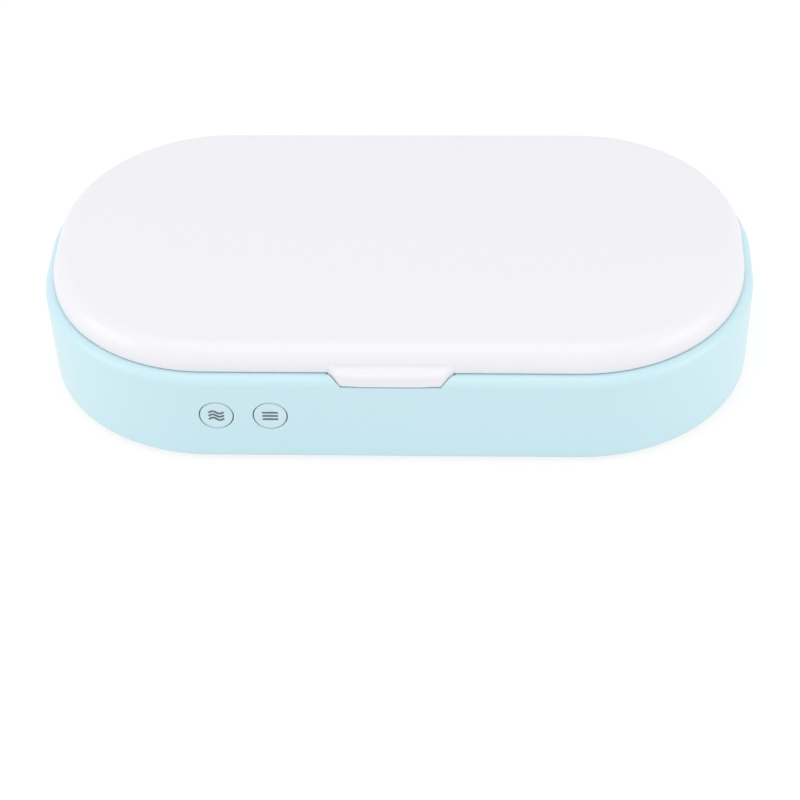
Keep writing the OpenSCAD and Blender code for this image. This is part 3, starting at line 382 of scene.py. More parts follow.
FINISH_OF = {
    "sky_plastic": ("base_shell", "bottom_cover"),
    "lid_plastic": ("lid_shell",),
    "white_plastic": ("chamber_tray", "lid_liner", "scent_grille", "board_connectors"),
    "button_plastic": ("sterilize_button", "scent_button"),
    "mirror_sheet": ("tray_mirror", "lid_mirror", "front_reflector", "rear_reflector"),
    "steel": ("cover_screws", "tray_screws", "base_magnet_left", "base_magnet_right", "lid_magnet_left",
              "lid_magnet_right", "front_lamp_caps", "rear_lamp_caps", "hinge_pin_left", "hinge_pin_right",
              "lid_screws", "board_screws", "key_board_screws", "charging_socket"),
    "quartz_glass": ("front_lamp_tube", "rear_lamp_tube"),
    "clear_plastic": ("phone_rail_left", "phone_rail_middle", "phone_rail_right"),
    "foot_rubber": ("foot_front_left", "foot_front_right", "foot_rear_left", "foot_rear_right"),
    "boot_rubber": ("lamp_boot_front_left", "lamp_boot_front_right", "lamp_boot_rear_left",
                    "lamp_boot_rear_right"),
    "seal_rubber": ("lid_seal",),
    "felt": ("scent_pad",),
    "circuit_board": ("main_board", "key_board"),
    "dark_plastic": ("lamp_transformer", "control_chip", "sterilize_switch", "scent_switch", "lid_sensor",
                     "sterilize_plunger", "scent_plunger", "key_cable"),
    "wire_cover": ("left_lamp_wires", "right_lamp_wires"),
    "tin_can": ("board_capacitors",),
    "light_lens": ("button_lights",),
}
FINISHES = {}


# ---------- Geometry Nodes ----------

def new_tree(name, inputs):
    """A Geometry Nodes tree with a geometry output and named inputs: (name, socket type, default)."""
    tree = bpy.data.node_groups.new(name, "GeometryNodeTree")
    tree.interface.new_socket("Geometry", in_out="OUTPUT", socket_type="NodeSocketGeometry")
    for label, kind, default in inputs:
        socket = tree.interface.new_socket(label, in_out="INPUT", socket_type=kind)
        if default is not None:
            socket.default_value = default
    source = tree.nodes.new("NodeGroupInput")
    sockets = {s.name: Field(tree, s) for s in source.outputs if s.name}
    return tree, Field(tree), sockets


def close_tree(field, geometry, material):
    """Ends a tree in Realize Instances and Set Material."""
    solid = field.add("GeometryNodeRealizeInstances", None, {"Geometry": geometry})
    coated = field.add("GeometryNodeSetMaterial", None, {"Geometry": solid, "Material": material})
    out = field.tree.nodes.new("NodeGroupOutput")
    field.tree.links.new(coated.socket, out.inputs["Geometry"])


def smooth_tree():
    """Joins a CAD node's loose triangles and smooths what bends by less than the edge angle."""
    tree, field, sockets = new_tree("join and smooth", [
        ("Geometry", "NodeSocketGeometry", None), ("Edge angle", "NodeSocketFloat", SMOOTH_ANGLE)])
    plain = field.add("GeometryNodeRemoveAttribute", None,
                      {"Geometry": sockets["Geometry"], "Name": "custom_normal"})
    joined = field.add("GeometryNodeMergeByDistance", None, {"Geometry": plain, "Distance": 1e-6})
    angle = field.add("GeometryNodeInputMeshEdgeAngle")
    flat = field.add("FunctionNodeCompare", {"data_type": "FLOAT", "operation": "LESS_THAN"},
                     {"A": angle, "B": sockets["Edge angle"]})
    faces = field.add("GeometryNodeSetShadeSmooth", {"domain": "FACE"},
                      {"Geometry": joined, "Shade Smooth": True})
    edges = field.add("GeometryNodeSetShadeSmooth", {"domain": "EDGE"},
                      {"Geometry": faces, "Shade Smooth": flat})
    out = tree.nodes.new("NodeGroupOutput")
    tree.links.new(edges.socket, out.inputs["Geometry"])
    return tree


def even_shading(piece):
    """Turns the normals of large faces flat and keeps the crisp edges."""
    weigh = piece.modifiers.new("even shading", "WEIGHTED_NORMAL")
    weigh.keep_sharp = True


def soften(piece, tree):
    """Gives a CAD node smooth curves and crisp edges without touching its mesh."""
    join = piece.modifiers.new("join and smooth", "NODES")
    join.node_group = tree
    even_shading(piece)


def plain_mesh(piece):
    """The piece's evaluated result as a mesh of its own, with its modifiers removed."""
    bpy.context.view_layer.update()
    graph = bpy.context.evaluated_depsgraph_get()
    mesh = bpy.data.meshes.new_from_object(piece.evaluated_get(graph), depsgraph=graph)
    mesh.name = piece.name
    piece.modifiers.clear()
    piece.data = mesh
    return mesh


def set_input(modifier, name, value):
    """Sets a modifier's input through its socket's identifier."""
    for item in modifier.node_group.interface.items_tree:
        if item.item_type == "SOCKET" and item.in_out == "INPUT" and item.name == name:
            modifier[item.identifier] = value
            return
    raise RuntimeError(f"no input named {name}")


def grown(name, tree, material, **inputs):
    """A piece made by a tree from its inputs, as a plain mesh."""
    piece = link(name, bpy.data.meshes.new(name))
    modifier = piece.modifiers.new(tree.name, "NODES")
    modifier.node_group = tree
    set_input(modifier, "Material", material)
    for label, value in inputs.items():
        set_input(modifier, label.replace("_", " "), value)
    mesh = plain_mesh(piece)
    if not mesh.polygons:
        raise RuntimeError(f"{name} came out empty")
    mesh.materials.clear()
    mesh.materials.append(material)
    return piece


def sweep_tree():
    """Carries a profile round the housing's outline: its X is the distance from the core rectangle."""
    tree, field, sockets = new_tree("housing sweep", [
        ("Profile", "NodeSocketObject", None), ("Half length", "NodeSocketFloat", 0.056),
        ("Half width", "NodeSocketFloat", 0.006), ("Corner steps", "NodeSocketInt", 40),
        ("Material", "NodeSocketMaterial", None)])
    steps = sockets["Corner steps"]
    profile = field.add("GeometryNodeObjectInfo", None, {"Object": sockets["Profile"]}, out="Geometry")
    count = field.add("GeometryNodeAttributeDomainSize", {"component": "MESH"}, {"Geometry": profile},
                      out="Point Count")
    grid = field.add("GeometryNodeMeshGrid", None, {"Vertices X": steps * 4 + 5, "Vertices Y": count})
    index = field.add("GeometryNodeInputIndex")
    station = field.math("FLOOR", index / count)
    corner = field.math("FLOOR", station / (steps + 1))
    angle = (corner + (station - corner * (steps + 1)) / steps) * (math.pi / 2)
    middle = (corner + 0.5) * (math.pi / 2)
    core_x = field.math("SIGN", field.math("COSINE", middle)) * sockets["Half length"]
    core_y = field.math("SIGN", field.math("SINE", middle)) * sockets["Half width"]
    place = field.add("GeometryNodeInputPosition")
    drawn = field.add("GeometryNodeSampleIndex", {"data_type": "FLOAT_VECTOR", "domain": "POINT"},
                      {"Geometry": profile, "Value": place, "Index": index - station * count + 0.25})
    drawn = field.add("ShaderNodeSeparateXYZ", None, {"Vector": drawn})
    spot = field.add("ShaderNodeCombineXYZ", None, {
        "X": core_x + field.math("COSINE", angle) * drawn, "Y": core_y + field.math("SINE", angle) * drawn,
        "Z": drawn.other("Z")})
    shaped = field.add("GeometryNodeSetPosition", None, {"Geometry": grid, "Position": spot})
    joined = field.add("GeometryNodeMergeByDistance", None, {"Geometry": shaped, "Distance": 1e-6})
    close_tree(field, joined, sockets["Material"])
    return tree


def pattern_tree():
    """Sets one small piece on every point of a layout."""
    tree, field, sockets = new_tree("repeated piece", [
        ("Piece", "NodeSocketObject", None), ("Places", "NodeSocketObject", None),
        ("Size", "NodeSocketFloat", 1.0), ("Material", "NodeSocketMaterial", None)])
    piece = field.add("GeometryNodeObjectInfo", None, {"Object": sockets["Piece"]}, out="Geometry")
    places = field.add("GeometryNodeObjectInfo", None, {"Object": sockets["Places"]}, out="Geometry")
    copies = field.add("GeometryNodeInstanceOnPoints", None,
                       {"Points": places, "Instance": piece, "Scale": sockets["Size"]})
    close_tree(field, copies, sockets["Material"])
    return tree


# ---------- Meshes ----------

def link(name, mesh):
    """A new object in the scene, from a mesh or other data."""
    piece = bpy.data.objects.new(name, mesh)
    bpy.context.scene.collection.objects.link(piece)
    return piece


def mesh_of(name, points, faces=(), edges=()):
    """A mesh from points in millimetres."""
    mesh = bpy.data.meshes.new(name)
    mesh.from_pydata([tuple(c * MM for c in p) for p in points], edges, faces)
    mesh.update()
    return mesh


def drop(*pieces):
    """Removes pieces and the meshes that nothing else uses."""
    for piece in pieces:
        mesh = piece.data
        bpy.data.objects.remove(piece)
        if mesh.users == 0:
            bpy.data.meshes.remove(mesh)


def arc(centre, radius, start, end, steps):
    """Points of an arc in a profile, with angles in degrees."""
    return [(centre[0] + radius * math.cos(math.radians(a)), centre[1] + radius * math.sin(math.radians(a)))
            for a in (start + (end - start) * i / steps for i in range(steps + 1))]


def rounded(corners, steps):
    """A closed profile from corners (across, height[, rounding]): those with a rounding are rounded."""
    out = []
    for i, corner in enumerate(corners):
        here = Vector(corner[:2])
        radius = corner[2] if len(corner) > 2 else 0
        if not radius:
            out.append(tuple(here))
            continue
        before = Vector(corners[i - 1][:2]) - here
        after = Vector(corners[(i + 1) % len(corners)][:2]) - here
        half = before.angle(after) / 2
        reach = min(radius / math.tan(half), before.length * 0.49, after.length * 0.49)
        radius = reach * math.tan(half)
        centre = here + (before.normalized() + after.normalized()).normalized() * (radius / math.sin(half))
        first, last = here + before.normalized() * reach - centre, here + after.normalized() * reach - centre
        for k in range(steps + 1):
            out.append(tuple(centre + first.slerp(last, k / steps) * radius))
    return out


def tidy(mesh, close=True):
    """Closes holes, turns faces outwards and smooths everything but the crisp edges."""
    work = bmesh.new()
    work.from_mesh(mesh)
    bmesh.ops.remove_doubles(work, verts=work.verts, dist=1e-6)
    bmesh.ops.dissolve_degenerate(work, dist=1e-7, edges=work.edges)
    if close:
        bmesh.ops.holes_fill(work, edges=[e for e in work.edges if e.is_boundary], sides=0)
    bmesh.ops.recalc_face_normals(work, faces=work.faces)
    work.to_mesh(mesh)
    work.free()
    mesh.polygons.foreach_set("use_smooth", [True] * len(mesh.polygons))
    mesh.set_sharp_from_angle(angle=SMOOTH_ANGLE)
    mesh.update()


def swept(name, profile, housing, material):
    """A closed ring or shell whose profile, in millimetres, runs round the housing."""
    ring = [*profile, profile[0]] if profile[0][0] > 1e-6 else profile
    guide = link(name + "_profile", mesh_of(name + "_profile", [(d, 0, z) for d, z in ring],
                                            edges=[(i, i + 1) for i in range(len(ring) - 1)]))
    piece = grown(name, sweep_tree(), material, Profile=guide, Half_length=housing.half_straight_x,
                  Half_width=housing.half_straight_y, Corner_steps=housing.corner_steps)
    drop(guide)
    tidy(piece.data)
    return piece


def quadratic(a, b, c, steps):
    """Points of the curve from a to c that b pulls towards itself."""
    return [tuple((1 - t) ** 2 * p + 2 * t * (1 - t) * q + t * t * r for p, q, r in zip(a, b, c))
            for t in (i / steps for i in range(steps + 1))]


def height_at(line, across):
    """The height of a line of points (across, height) at one place."""
    for (x0, z0), (x1, z1) in zip(line, line[1:]):
        if x0 <= across <= x1:
            return z0 + (z1 - z0) * (across - x0) / (x1 - x0)
    return line[-1][1] if across > line[-1][0] else line[0][1]


def block(half, low, top):
    """A plain rectangle, drawn across and up."""
    return [(-half, low), (half, low), (half, top), (-half, top)]


def slot_outline(width, height, centre):
    """A slot with round ends, drawn across and up."""
    r = height / 2
    reach = width / 2 - r
    return arc((reach, centre), r, -90, 90, 16) + arc((-reach, centre), r, 90, 270, 16)


def prism(name, outline, start, end, axis="X"):
    """A closed solid: an outline in millimetres carried along X, Y or Z between two places."""
    n = len(outline)
    points = [{"X": (t, a, b), "Y": (a, t, b), "Z": (a, b, t)}[axis]
              for t in (start, end) for a, b in outline]
    faces = [list(range(n)), list(range(n, 2 * n))]
    faces += [[i, (i + 1) % n, n + (i + 1) % n, n + i] for i in range(n)]
    piece = link(name, mesh_of(name, points, faces))
    tidy(piece.data)
    return piece


def lathe(name, profile, centre, axis, steps):
    """A closed solid turned about an axis through centre: the profile is (radius, place along the axis)."""
    points, faces, rings = [], [], []
    for r, t in profile:
        rings.append([len(points) + k for k in range(steps if r > 1e-6 else 1)])
        for k in range(len(rings[-1])):
            a = 2 * math.pi * k / steps
            u, v = r * math.cos(a), r * math.sin(a)
            local = {"Z": (u, v, t), "Y": (u, t, v), "X": (t, u, v)}[axis]
            points.append(tuple(c + l for c, l in zip(centre, local)))
    for a, b in zip(rings, rings[1:]):
        for k in range(steps):
            face = [a[k % len(a)], a[(k + 1) % len(a)], b[(k + 1) % len(b)], b[k % len(b)]]
            faces.append(list(dict.fromkeys(face)))
    piece = link(name, mesh_of(name, points, [f for f in faces if len(f) > 2]))
    tidy(piece.data)
    return piece


def rod(name, axis, centre, radius, start, end, steps=48):
    """A round rod along an axis, between two places on it."""
    return lathe(name, [(0, start), (radius, start), (radius, end), (0, end)], centre, axis, steps)


def carved(piece, added=(), removed=()):
    """Unites a piece with some solids, cuts others from it, and leaves one clean mesh."""
    groups = []
    for operation, solids in (("UNION", added), ("DIFFERENCE", removed)):
        if not solids:
            continue
        group = bpy.data.collections.new(piece.name + "_" + operation.lower())
        for solid in solids:
            group.objects.link(solid)
        groups.append(group)
        cut = piece.modifiers.new(operation.lower(), "BOOLEAN")
        cut.operation, cut.solver, cut.operand_type, cut.collection = operation, "EXACT", "COLLECTION", group
    plain_mesh(piece)
    for group in groups:
        bpy.data.collections.remove(group)
    drop(*added, *removed)
    return piece


def joined(name, parts):
    """Several loose solids as one piece."""
    work = bmesh.new()
    for part in parts:
        work.from_mesh(part.data)
    mesh = bpy.data.meshes.new(name)
    work.to_mesh(mesh)
    work.free()
    drop(*parts)
    return link(name, mesh)


def repeated(name, piece, places, finish):
    """Copies of one piece, drawn at the origin, on places in millimetres."""
    layout = link(name + "_places", mesh_of(name + "_places", places))
    group = grown(name, pattern_tree(), FINISHES[finish], Piece=piece, Places=layout, Size=1.0)
    drop(piece, layout)
    return group


def strand(name, points, radius, sides=10):
    """A round wire through points in millimetres."""
    rows, faces = [], []
    side = Vector((0.31, 0.17, 0.94))
    for i, here in enumerate(points):
        ahead = (Vector(points[min(i + 1, len(points) - 1)]) - Vector(points[max(i - 1, 0)])).normalized()
        side = (side - ahead * side.dot(ahead)).normalized()
        other = ahead.cross(side)
        rows += [tuple(Vector(here) + radius * (side * math.cos(a) + other * math.sin(a)))
                 for a in (2 * math.pi * k / sides for k in range(sides))]
    for i in range(len(points) - 1):
        faces += [[i * sides + k, i * sides + (k + 1) % sides, (i + 1) * sides + (k + 1) % sides,
                   (i + 1) * sides + k] for k in range(sides)]
    faces += [list(range(sides)), list(range(len(rows) - sides, len(rows)))]
    wire = link(name, mesh_of(name, rows, faces))
    tidy(wire.data)
    return wire


def screw(name, head, head_h, shank, length):
    """A pan-head screw with a cross recess, head down, pointing up from the origin."""
    dome = [(head * math.sin(math.radians(a)), head_h * 0.42 * (1 - math.cos(math.radians(a))))
            for a in range(0, 91, 10)]
    tip = head_h + length + shank * 0.6
    body = lathe(name, [*dome, (head, head_h), (shank, head_h), (shank, head_h + length), (shank * 0.3, tip),
                        (0, tip)], (0, 0, 0), "Z", 36)
    cuts = []
    for turn in (0, 90):
        outline = block(head * 0.56, -head * 0.13, head * 0.13)
        arm = prism(name + "_slot", outline, -1, head_h * 0.62, axis="Z")
        arm.data.transform(Matrix.Rotation(math.radians(turn), 4, "Z"))
        cuts.append(arm)
    carved(body, removed=[carved(cuts[0], added=[cuts[1]])])
    return body


def settle(piece, body, slot, replaced=(), bevel=0.0):
    """Finishes a piece: edge roundings, even shading, its body, its slot and the nodes it stands for."""
    mesh = piece.data
    if not mesh.materials:
        mesh.materials.append(FINISHES[slot])
    tidy(mesh, close=False)
    if bevel:
        edge = piece.modifiers.new("edge rounding", "BEVEL")
        edge.width, edge.segments = bevel * MM, 2
        edge.limit_method, edge.angle_limit = "ANGLE", math.radians(40)
        plain_mesh(piece)
        tidy(piece.data, close=False)
    even_shading(piece)
    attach(piece, body)
    if replaced:
        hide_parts(*replaced)


# ---------- Sizes of the moulded parts, in millimetres ----------

CORE_X, CORE_Y = 56.0, 6.0        # the core rectangle that every rounded outline grows from
CORNER_R = 54.0                   # the base's widest place, as a distance from the core
FOOT_H, COVER_TOP = 1.5, 3.5

# Lid: LID_D is its edge, as a distance from the core.
LID_D, LID_LOW, LID_TOP, LID_WALL = 51.0, 33.3, 43.2, 2.2
LID_STRAIGHT = 34.6               # top of the straight part of its edge
ROLL_CENTRE, ROLL_R = (44.5, 35.1), 6.5
CROWN_FLAT, CROWN_RISE = 2.0, 1.6
LID_BOSS_D, LID_BOSS_R, LID_BOSS_LOW, LID_BOSS_TOP = 46.3, 1.9, 35.1, 39.2
LID_PILOT_R, LID_PILOT_LOW, LID_PILOT_TOP = 0.75, 34, 37.3

# Lifting lip: straight width, width of a flank, how far it stands out, its underside and its gaps.
LIP_W, LIP_CURVE, LIP_REACH, LIP_LOW, LIP_GAP, LIP_UNDER = 24.6, 6.6, 3.05, 30.2, 0.3, 0.3
LIP_FACE_OUT, LIP_EDGE = 0.3, 4.0    # how far its face stands out past the flanks, and over what width
LIP_EASE = 1.35                   # above 1 the flanks leave the lid's edge more sharply
LIP_ROUND = 1.05                  # rounding of its front corner
LIP_ROOT, LIP_ROOT_RISE = 1.1, 0.35    # how far it reaches into the lid's wall, and above the lid's low edge

# Hinges: the stop tooth stands above the barrel and leaves a gap to the rear wall when the lid is open.
HINGE_Y, HINGE_Z, BARREL_R, PIN_R, PIN_GAP = 58.9053, 32.2, 1.9, 0.8, 0.05
HINGE_SPAN, KNUCKLE_W, KNUCKLE_GAP, LUG_W = 76.0, 14.0, 0.3, 5.0
OPEN_ANGLE, STOP_REACH, STOP_GAP = 105.0, 1.1, 0.2

# Base ring: distances from the core and heights of its profile, from the cover up over the shoulder.
COVER_D, COVER_SEAT = 50.7, 10
LOW_EDGE_D, LOW_EDGE_R, SHOULDER_LOW, SHOULDER_R = 51.8, 1.5, 30, 3.0
SEAM_Z, LEDGE_Z = 33.0, 31.4
RIM_IN_D, LEDGE_IN_D, WALL_IN_D = 48.8, 46.8, 51.4
BOSS_D, BOSS_R, BOSS_TOP = 47.7, 3.2, 29.65
PILOT_R, PILOT_LOW, PILOT_TOP = 1.05, 2.5, 10.0
KEY_POST_OUT, KEY_POST_Z, KEY_POST_R, KEY_POST_REACH = 7, (23.8, 13.0), 2.2, (-57.17, -49.7)
KEY_PILOT_R, KEY_PILOT_REACH = 0.75, (-53.7, -48.7)

# Buttons: the face and the flange are distances in front of the middle.
BUTTON_X, BUTTON_Z, BUTTON_R, BUTTON_GAP = (-52.6, -36.4), 18.4, 4.95, 0.3
FRONT_FACE, DISH_R, DISH_DEPTH, FACE_EDGE = 59.715, 3.9, 0.16, 0.45
FLANGE_FACE, FLANGE_OUT, FLANGE_T, STEM_R, STEM_L = 56.815, 1.2, 1, 1.6, 2.8
WALL_FACE, WALL_SLOPE = 59.699, 0.0259    # the front wall at the buttons' height, and how it leans
MOUTH_R = 0.3                     # rounding round a button's hole
SIGN_W, STROKE_W, STROKE_PITCH, WAVE_H = 4.9, 0.64, 1.28, 0.48
INK_PLACE, INK_REACH = 0.1, (-0.025, 0.02)

# Recess and socket for charging
USB_Z, PORT_W, PORT_H, PORT_FLOOR, PORT_SKIN, PORT_END = 8.1, 12.4, 7.2, 55.03, 1.2, 66
PORT_BLOCK, PORT_BLOCK_END = (7.8, 3.8, 12.6), 57.9
PORT_WINDOW, PORT_WINDOW_REACH = (7.9, 3.2), (50, 56)
BOARD_TOP, USB_W, USB_H, SOCKET_L, SOCKET_WALL = 6.7, 7.5, 2.8, 5.8, 0.3
TONGUE_HALF, TONGUE_T, TONGUE_RISE = 1.9, 0.3, 0.35
CONTACT_HALF, CONTACT_T, CONTACT_PITCH = 0.18, 0.08, 0.68

# Screws: head radius and height, shank radius and length.
BASE_SCREW, LINING_SCREW = (2.1, 1.2, 1.1, 5.0), (1.5, 0.8, 0.8, 2.1)
TRAY_SCREW_X, TRAY_SCREW_Y = 6, 8    # beyond the core rectangle
LINING_Z = 33.6

# In the chamber
FLOOR_Z, MIRROR_T = 12.3, 0.4
RAIL_PITCH, RAIL_HALF, RAIL_H, RAIL_T, RAIL_ROUND = 46.0, 25.85, 8.9, 3.0, 2.0
RAIL_HOLE_R, RAIL_HOLE_PITCH, RAIL_HOLE_Z, RAIL_BRIDGE = RAIL_H * 0.27, RAIL_HALF * 0.38, RAIL_H * 0.46, 1.2
CUP_X, CUP_R, GRILLE_Z, GRILLE_T, GRILLE_SKIRT = 82.0, 9.0, 16.3, 1.2, 0.9
SLOT_PITCH, SLOT_W, SLOT_MARGIN = 2.47, 1.3, 2.2
LAMP_Y, LAMP_Z = 34.0, 16.7
LAMP_STEM = ((0, 61), (2.2, 61), (2.1, 59), (1.5, 57.2), (1.3, 55.6), (0.9, 55.2), (0, 55.1))
LAMP_LEAD, LEAD_R = ((56, 0.8), (54, 1.0), (52.4, 1.35), (51.6, 1.35)), 0.16
COIL_R, COIL_L, COIL_TURNS, COIL_STEPS, COIL_WIRE_R = 0.42, 2.9, 10, 180, 0.1

# Feet, with their grip rings
FOOT_X, FOOT_Y, FOOT_R, FOOT_TOP, FOOT_EDGE = 74.0, 36.0, 6.0, 2.1, 0.45
FOOT_HUB_R, FOOT_HUB_Z, GRIP_R, GRIP_PITCH = 2.2, 0.3, 2.9, 0.75
GRIP_FOOT, GRIP_CREST, GRIP_H = 0.3, 0.12, 0.16

# Stage, in metres: each lamp's name, place, width and power setting, and the camera fitted to the photograph.
STUDIO_LAMPS = (("key_light", (-0.1, -0.4, 1.4), 1.5, "key_power"),
                ("fill_light_left", (-1.1, -0.35, 0.45), 0.9, "fill_power"),
                ("fill_light_right", (1.1, -0.35, 0.45), 0.9, "fill_power"))
STUDIO_TARGET, FLOOR_R, FLOOR_GLOW = (0, 0, 0.02), 4.0, 0.8
CAMERA_TARGET = Vector((0.974, -32.72, 1.5)) * MM
CAMERA_DISTANCE, CAMERA_LENS = 771.56 * MM, 111.6
CAMERA_ELEVATION, CAMERA_AZIMUTH, CAMERA_ROLL = math.radians(41.21), math.radians(3.602), math.radians(-2.0)


# ---------- Operators ----------

class SANITIZER_OT_frame_finishes(bpy.types.Operator):
    """Give every carried-over part its finish and smooth shading"""
    bl_idname = "sanitizer.frame_finishes"
    bl_label = "Finish the carried-over parts"

    def execute(self, context):
        FINISHES.update(make_finishes(context.scene.sanitizer_housing, context.scene.sanitizer_surface))
        tree = smooth_tree()
        for name, nodes in FINISH_OF.items():
            for node in nodes:
                piece = NODES[node]
                piece.data.materials.clear()
                piece.data.materials.append(FINISHES[name])
                soften(piece, tree)
        bare = sorted(n for n, o in NODES.items() if not any(n in group for group in FINISH_OF.values()))
        if bare:
            raise RuntimeError(f"no finish for {bare}")
        return {"FINISHED"}


def mirrored(x, y):
    """A place and its three mirror images."""
    return [(sx * x, sy * y) for sx in (-1, 1) for sy in (-1, 1)]


def corner_places(distance):
    """Four places on the diagonals of the round ends."""
    reach = distance * math.cos(math.radians(45))
    return mirrored(CORE_X + reach, CORE_Y + reach)


def cover_bosses():
    """Where the cover is screwed to the base."""
    return corner_places(BOSS_D) + [(0, -CORE_Y - BOSS_D), (-24, CORE_Y + BOSS_D), (24, CORE_Y + BOSS_D)]


def lid_bosses():
    """Where the lining is screwed to the lid."""
    return corner_places(LID_BOSS_D) + [(0, -CORE_Y - LID_BOSS_D), (0, CORE_Y + LID_BOSS_D)]


def ramp(t):
    """A smooth step from 0 to 1."""
    t = min(max(t, 0), 1)
    return (1 - math.cos(math.pi * t)) / 2


def lip_reach(x, grow=0.0):
    """How far the lip stands out from the lid's edge at x.

    Each flank is an S-curve laid over the base's rounded shoulder, and the face stands out a little further.
    """
    out = abs(x) - grow - LIP_W / 2
    swell = LIP_REACH - LIP_FACE_OUT
    share = ramp(1 - max(out / LIP_CURVE, 0) ** LIP_EASE)
    return swell * math.sin(math.pi / 2 * share) + LIP_FACE_OUT * ramp(-out / LIP_EDGE)


def shelf_height():
    """The lip's top surface in section, from the lid's rolled edge out to the lip's front corner."""
    start = arc(ROLL_CENTRE, ROLL_R - 0.12, 14, 14, 1)[0]
    start = (start[0] - LID_D, start[1])
    back, corner = (0.0, ROLL_CENTRE[1] + 0.15), (LIP_REACH, ROLL_CENTRE[1] - 0.95)
    knee = tuple(b + 0.45 * (c - b) for b, c in zip(back, corner))
    return quadratic(start, back, knee, 14) + [corner]


def lifting_lip(name):
    """The lip as a closed loft along X, which swells out of the lid's edge in two S-curves."""
    shelf = shelf_height()
    first = shelf[0][0]
    half = LIP_W / 2 + LIP_CURVE
    flank = [half - LIP_CURVE * (0.06 + 0.94 * i / 26) for i in range(27)]
    flank += [LIP_W / 2 - LIP_EDGE * i / 8 for i in range(1, 9)]
    stations = [-x for x in flank] + [flank[-1] * i / 5 for i in range(-4, 5)] + flank[::-1]
    points, rings = [], []
    for x in stations:
        reach = lip_reach(x)
        fade = 1 - reach / LIP_REACH
        edge = min(LIP_ROUND + 1.2 * fade, 0.9 * (reach - first))
        fall = LIP_ROUND + 1.3 * fade
        under = min(0.4, 0.45 * reach)
        inner = reach - edge
        line = [(first + (inner - first) * k / 9, height_at(shelf, first + (inner - first) * k / 9))
                for k in range(9)]
        line += quadratic((inner, height_at(shelf, inner)), (reach, height_at(shelf, reach)),
                          (reach, height_at(shelf, reach) - fall), 8)
        line += quadratic((reach, LIP_LOW + under), (reach, LIP_LOW), (reach - under, LIP_LOW), 5)
        line += [(0.0, LIP_LOW), (0.0, LID_LOW + LIP_ROOT_RISE), (-LIP_ROOT, LID_LOW + LIP_ROOT_RISE),
                 (-LIP_ROOT, shelf[0][1] - 0.25)]
        rings.append(range(len(points), len(points) + len(line)))
        points += [(x, -CORE_Y - LID_D - q, z) for q, z in line]
    faces = [list(rings[0]), list(rings[-1])]
    for a, b in zip(rings, rings[1:]):
        n = len(a)
        faces += [[a[k], a[(k + 1) % n], b[(k + 1) % n], b[k]] for k in range(n)]
    piece = link(name, mesh_of(name, points, faces))
    tidy(piece.data)
    return piece


def lip_notch(name):
    """The space that the base leaves for the lip, larger by the gap on every side."""
    half = LIP_W / 2 + LIP_CURVE + LIP_GAP
    edge = CORE_Y + LID_D
    xs = [half - LIP_CURVE * i / 28 for i in range(29)]
    xs += [LIP_W / 2 + LIP_GAP - LIP_EDGE * i / 6 for i in range(1, 7)]
    line = [(x, -edge - LIP_GAP - lip_reach(x, LIP_GAP)) for x in xs]
    outline = [(half, LIP_GAP - edge), *line, *[(-x, y) for x, y in reversed(line)], (-half, LIP_GAP - edge)]
    return prism(name, outline, LIP_LOW - LIP_UNDER, SEAM_Z + 1.5, axis="Z")


class SANITIZER_OT_lid(bpy.types.Operator):
    """Mould the lid: crowned top, rolled edge, lifting lip and hinge knuckles"""
    bl_idname = "sanitizer.lid"
    bl_label = "Mould the lid"

    def execute(self, context):
        housing = context.scene.sanitizer_housing
        roll_d, rise = ROLL_CENTRE[0], ROLL_R + CROWN_RISE
        crown_r = (roll_d ** 2 + rise ** 2 - ROLL_R ** 2) / (2 * CROWN_RISE)
        angle = math.degrees(math.atan(roll_d / (crown_r - rise)))
        crown = (0, LID_TOP - crown_r)
        inner_r = ROLL_R - LID_WALL
        profile = [(0, LID_TOP), (CROWN_FLAT, LID_TOP),
                   *arc(crown, crown_r, 90 - angle * 0.08, 90 - angle * 0.95, 24),
                   *arc(ROLL_CENTRE, ROLL_R, 90 - angle, 0, 30),
                   *rounded([(LID_D, LID_STRAIGHT), (LID_D, LID_LOW, 0.3), (LID_D - LID_WALL, LID_LOW, 0.2),
                             (LID_D - LID_WALL, LID_STRAIGHT)], 4),
                   *arc(ROLL_CENTRE, inner_r, 0, 90 - angle, 12),
                   *arc(crown, crown_r - LID_WALL, 90 - angle * 0.9, 90 - angle * 0.1, 6),
                   (CROWN_FLAT, LID_TOP - LID_WALL), (0, LID_TOP - LID_WALL)]
        lid = swept("lid", profile, housing, FINISHES["lid_plastic"])
        added = [lifting_lip("lip")]
        removed = []
        for side in (-1, 1):
            start, end = side * HINGE_SPAN / 2 - KNUCKLE_W / 2, side * HINGE_SPAN / 2 + KNUCKLE_W / 2
            added += [rod("barrel", "X", (0, HINGE_Y, HINGE_Z), BARREL_R, start, end),
                      prism("web", knuckle_web(), start + 0.01, end - 0.01),
                      prism("tooth", stop_tooth(), start + 0.02, end - 0.02)]
            removed.append(rod("bore", "X", (0, HINGE_Y, HINGE_Z), PIN_R + PIN_GAP, start - 1, end + 1))
        for x, y in lid_bosses():
            added.append(rod("boss", "Z", (x, y, 0), LID_BOSS_R, LID_BOSS_LOW, LID_BOSS_TOP, 24))
            removed.append(rod("pilot", "Z", (x, y, 0), LID_PILOT_R, LID_PILOT_LOW, LID_PILOT_TOP, 16))
        carved(lid, added, removed)
        settle(lid, "lid", "lid_plastic", ["lid_shell"])
        return {"FINISHED"}


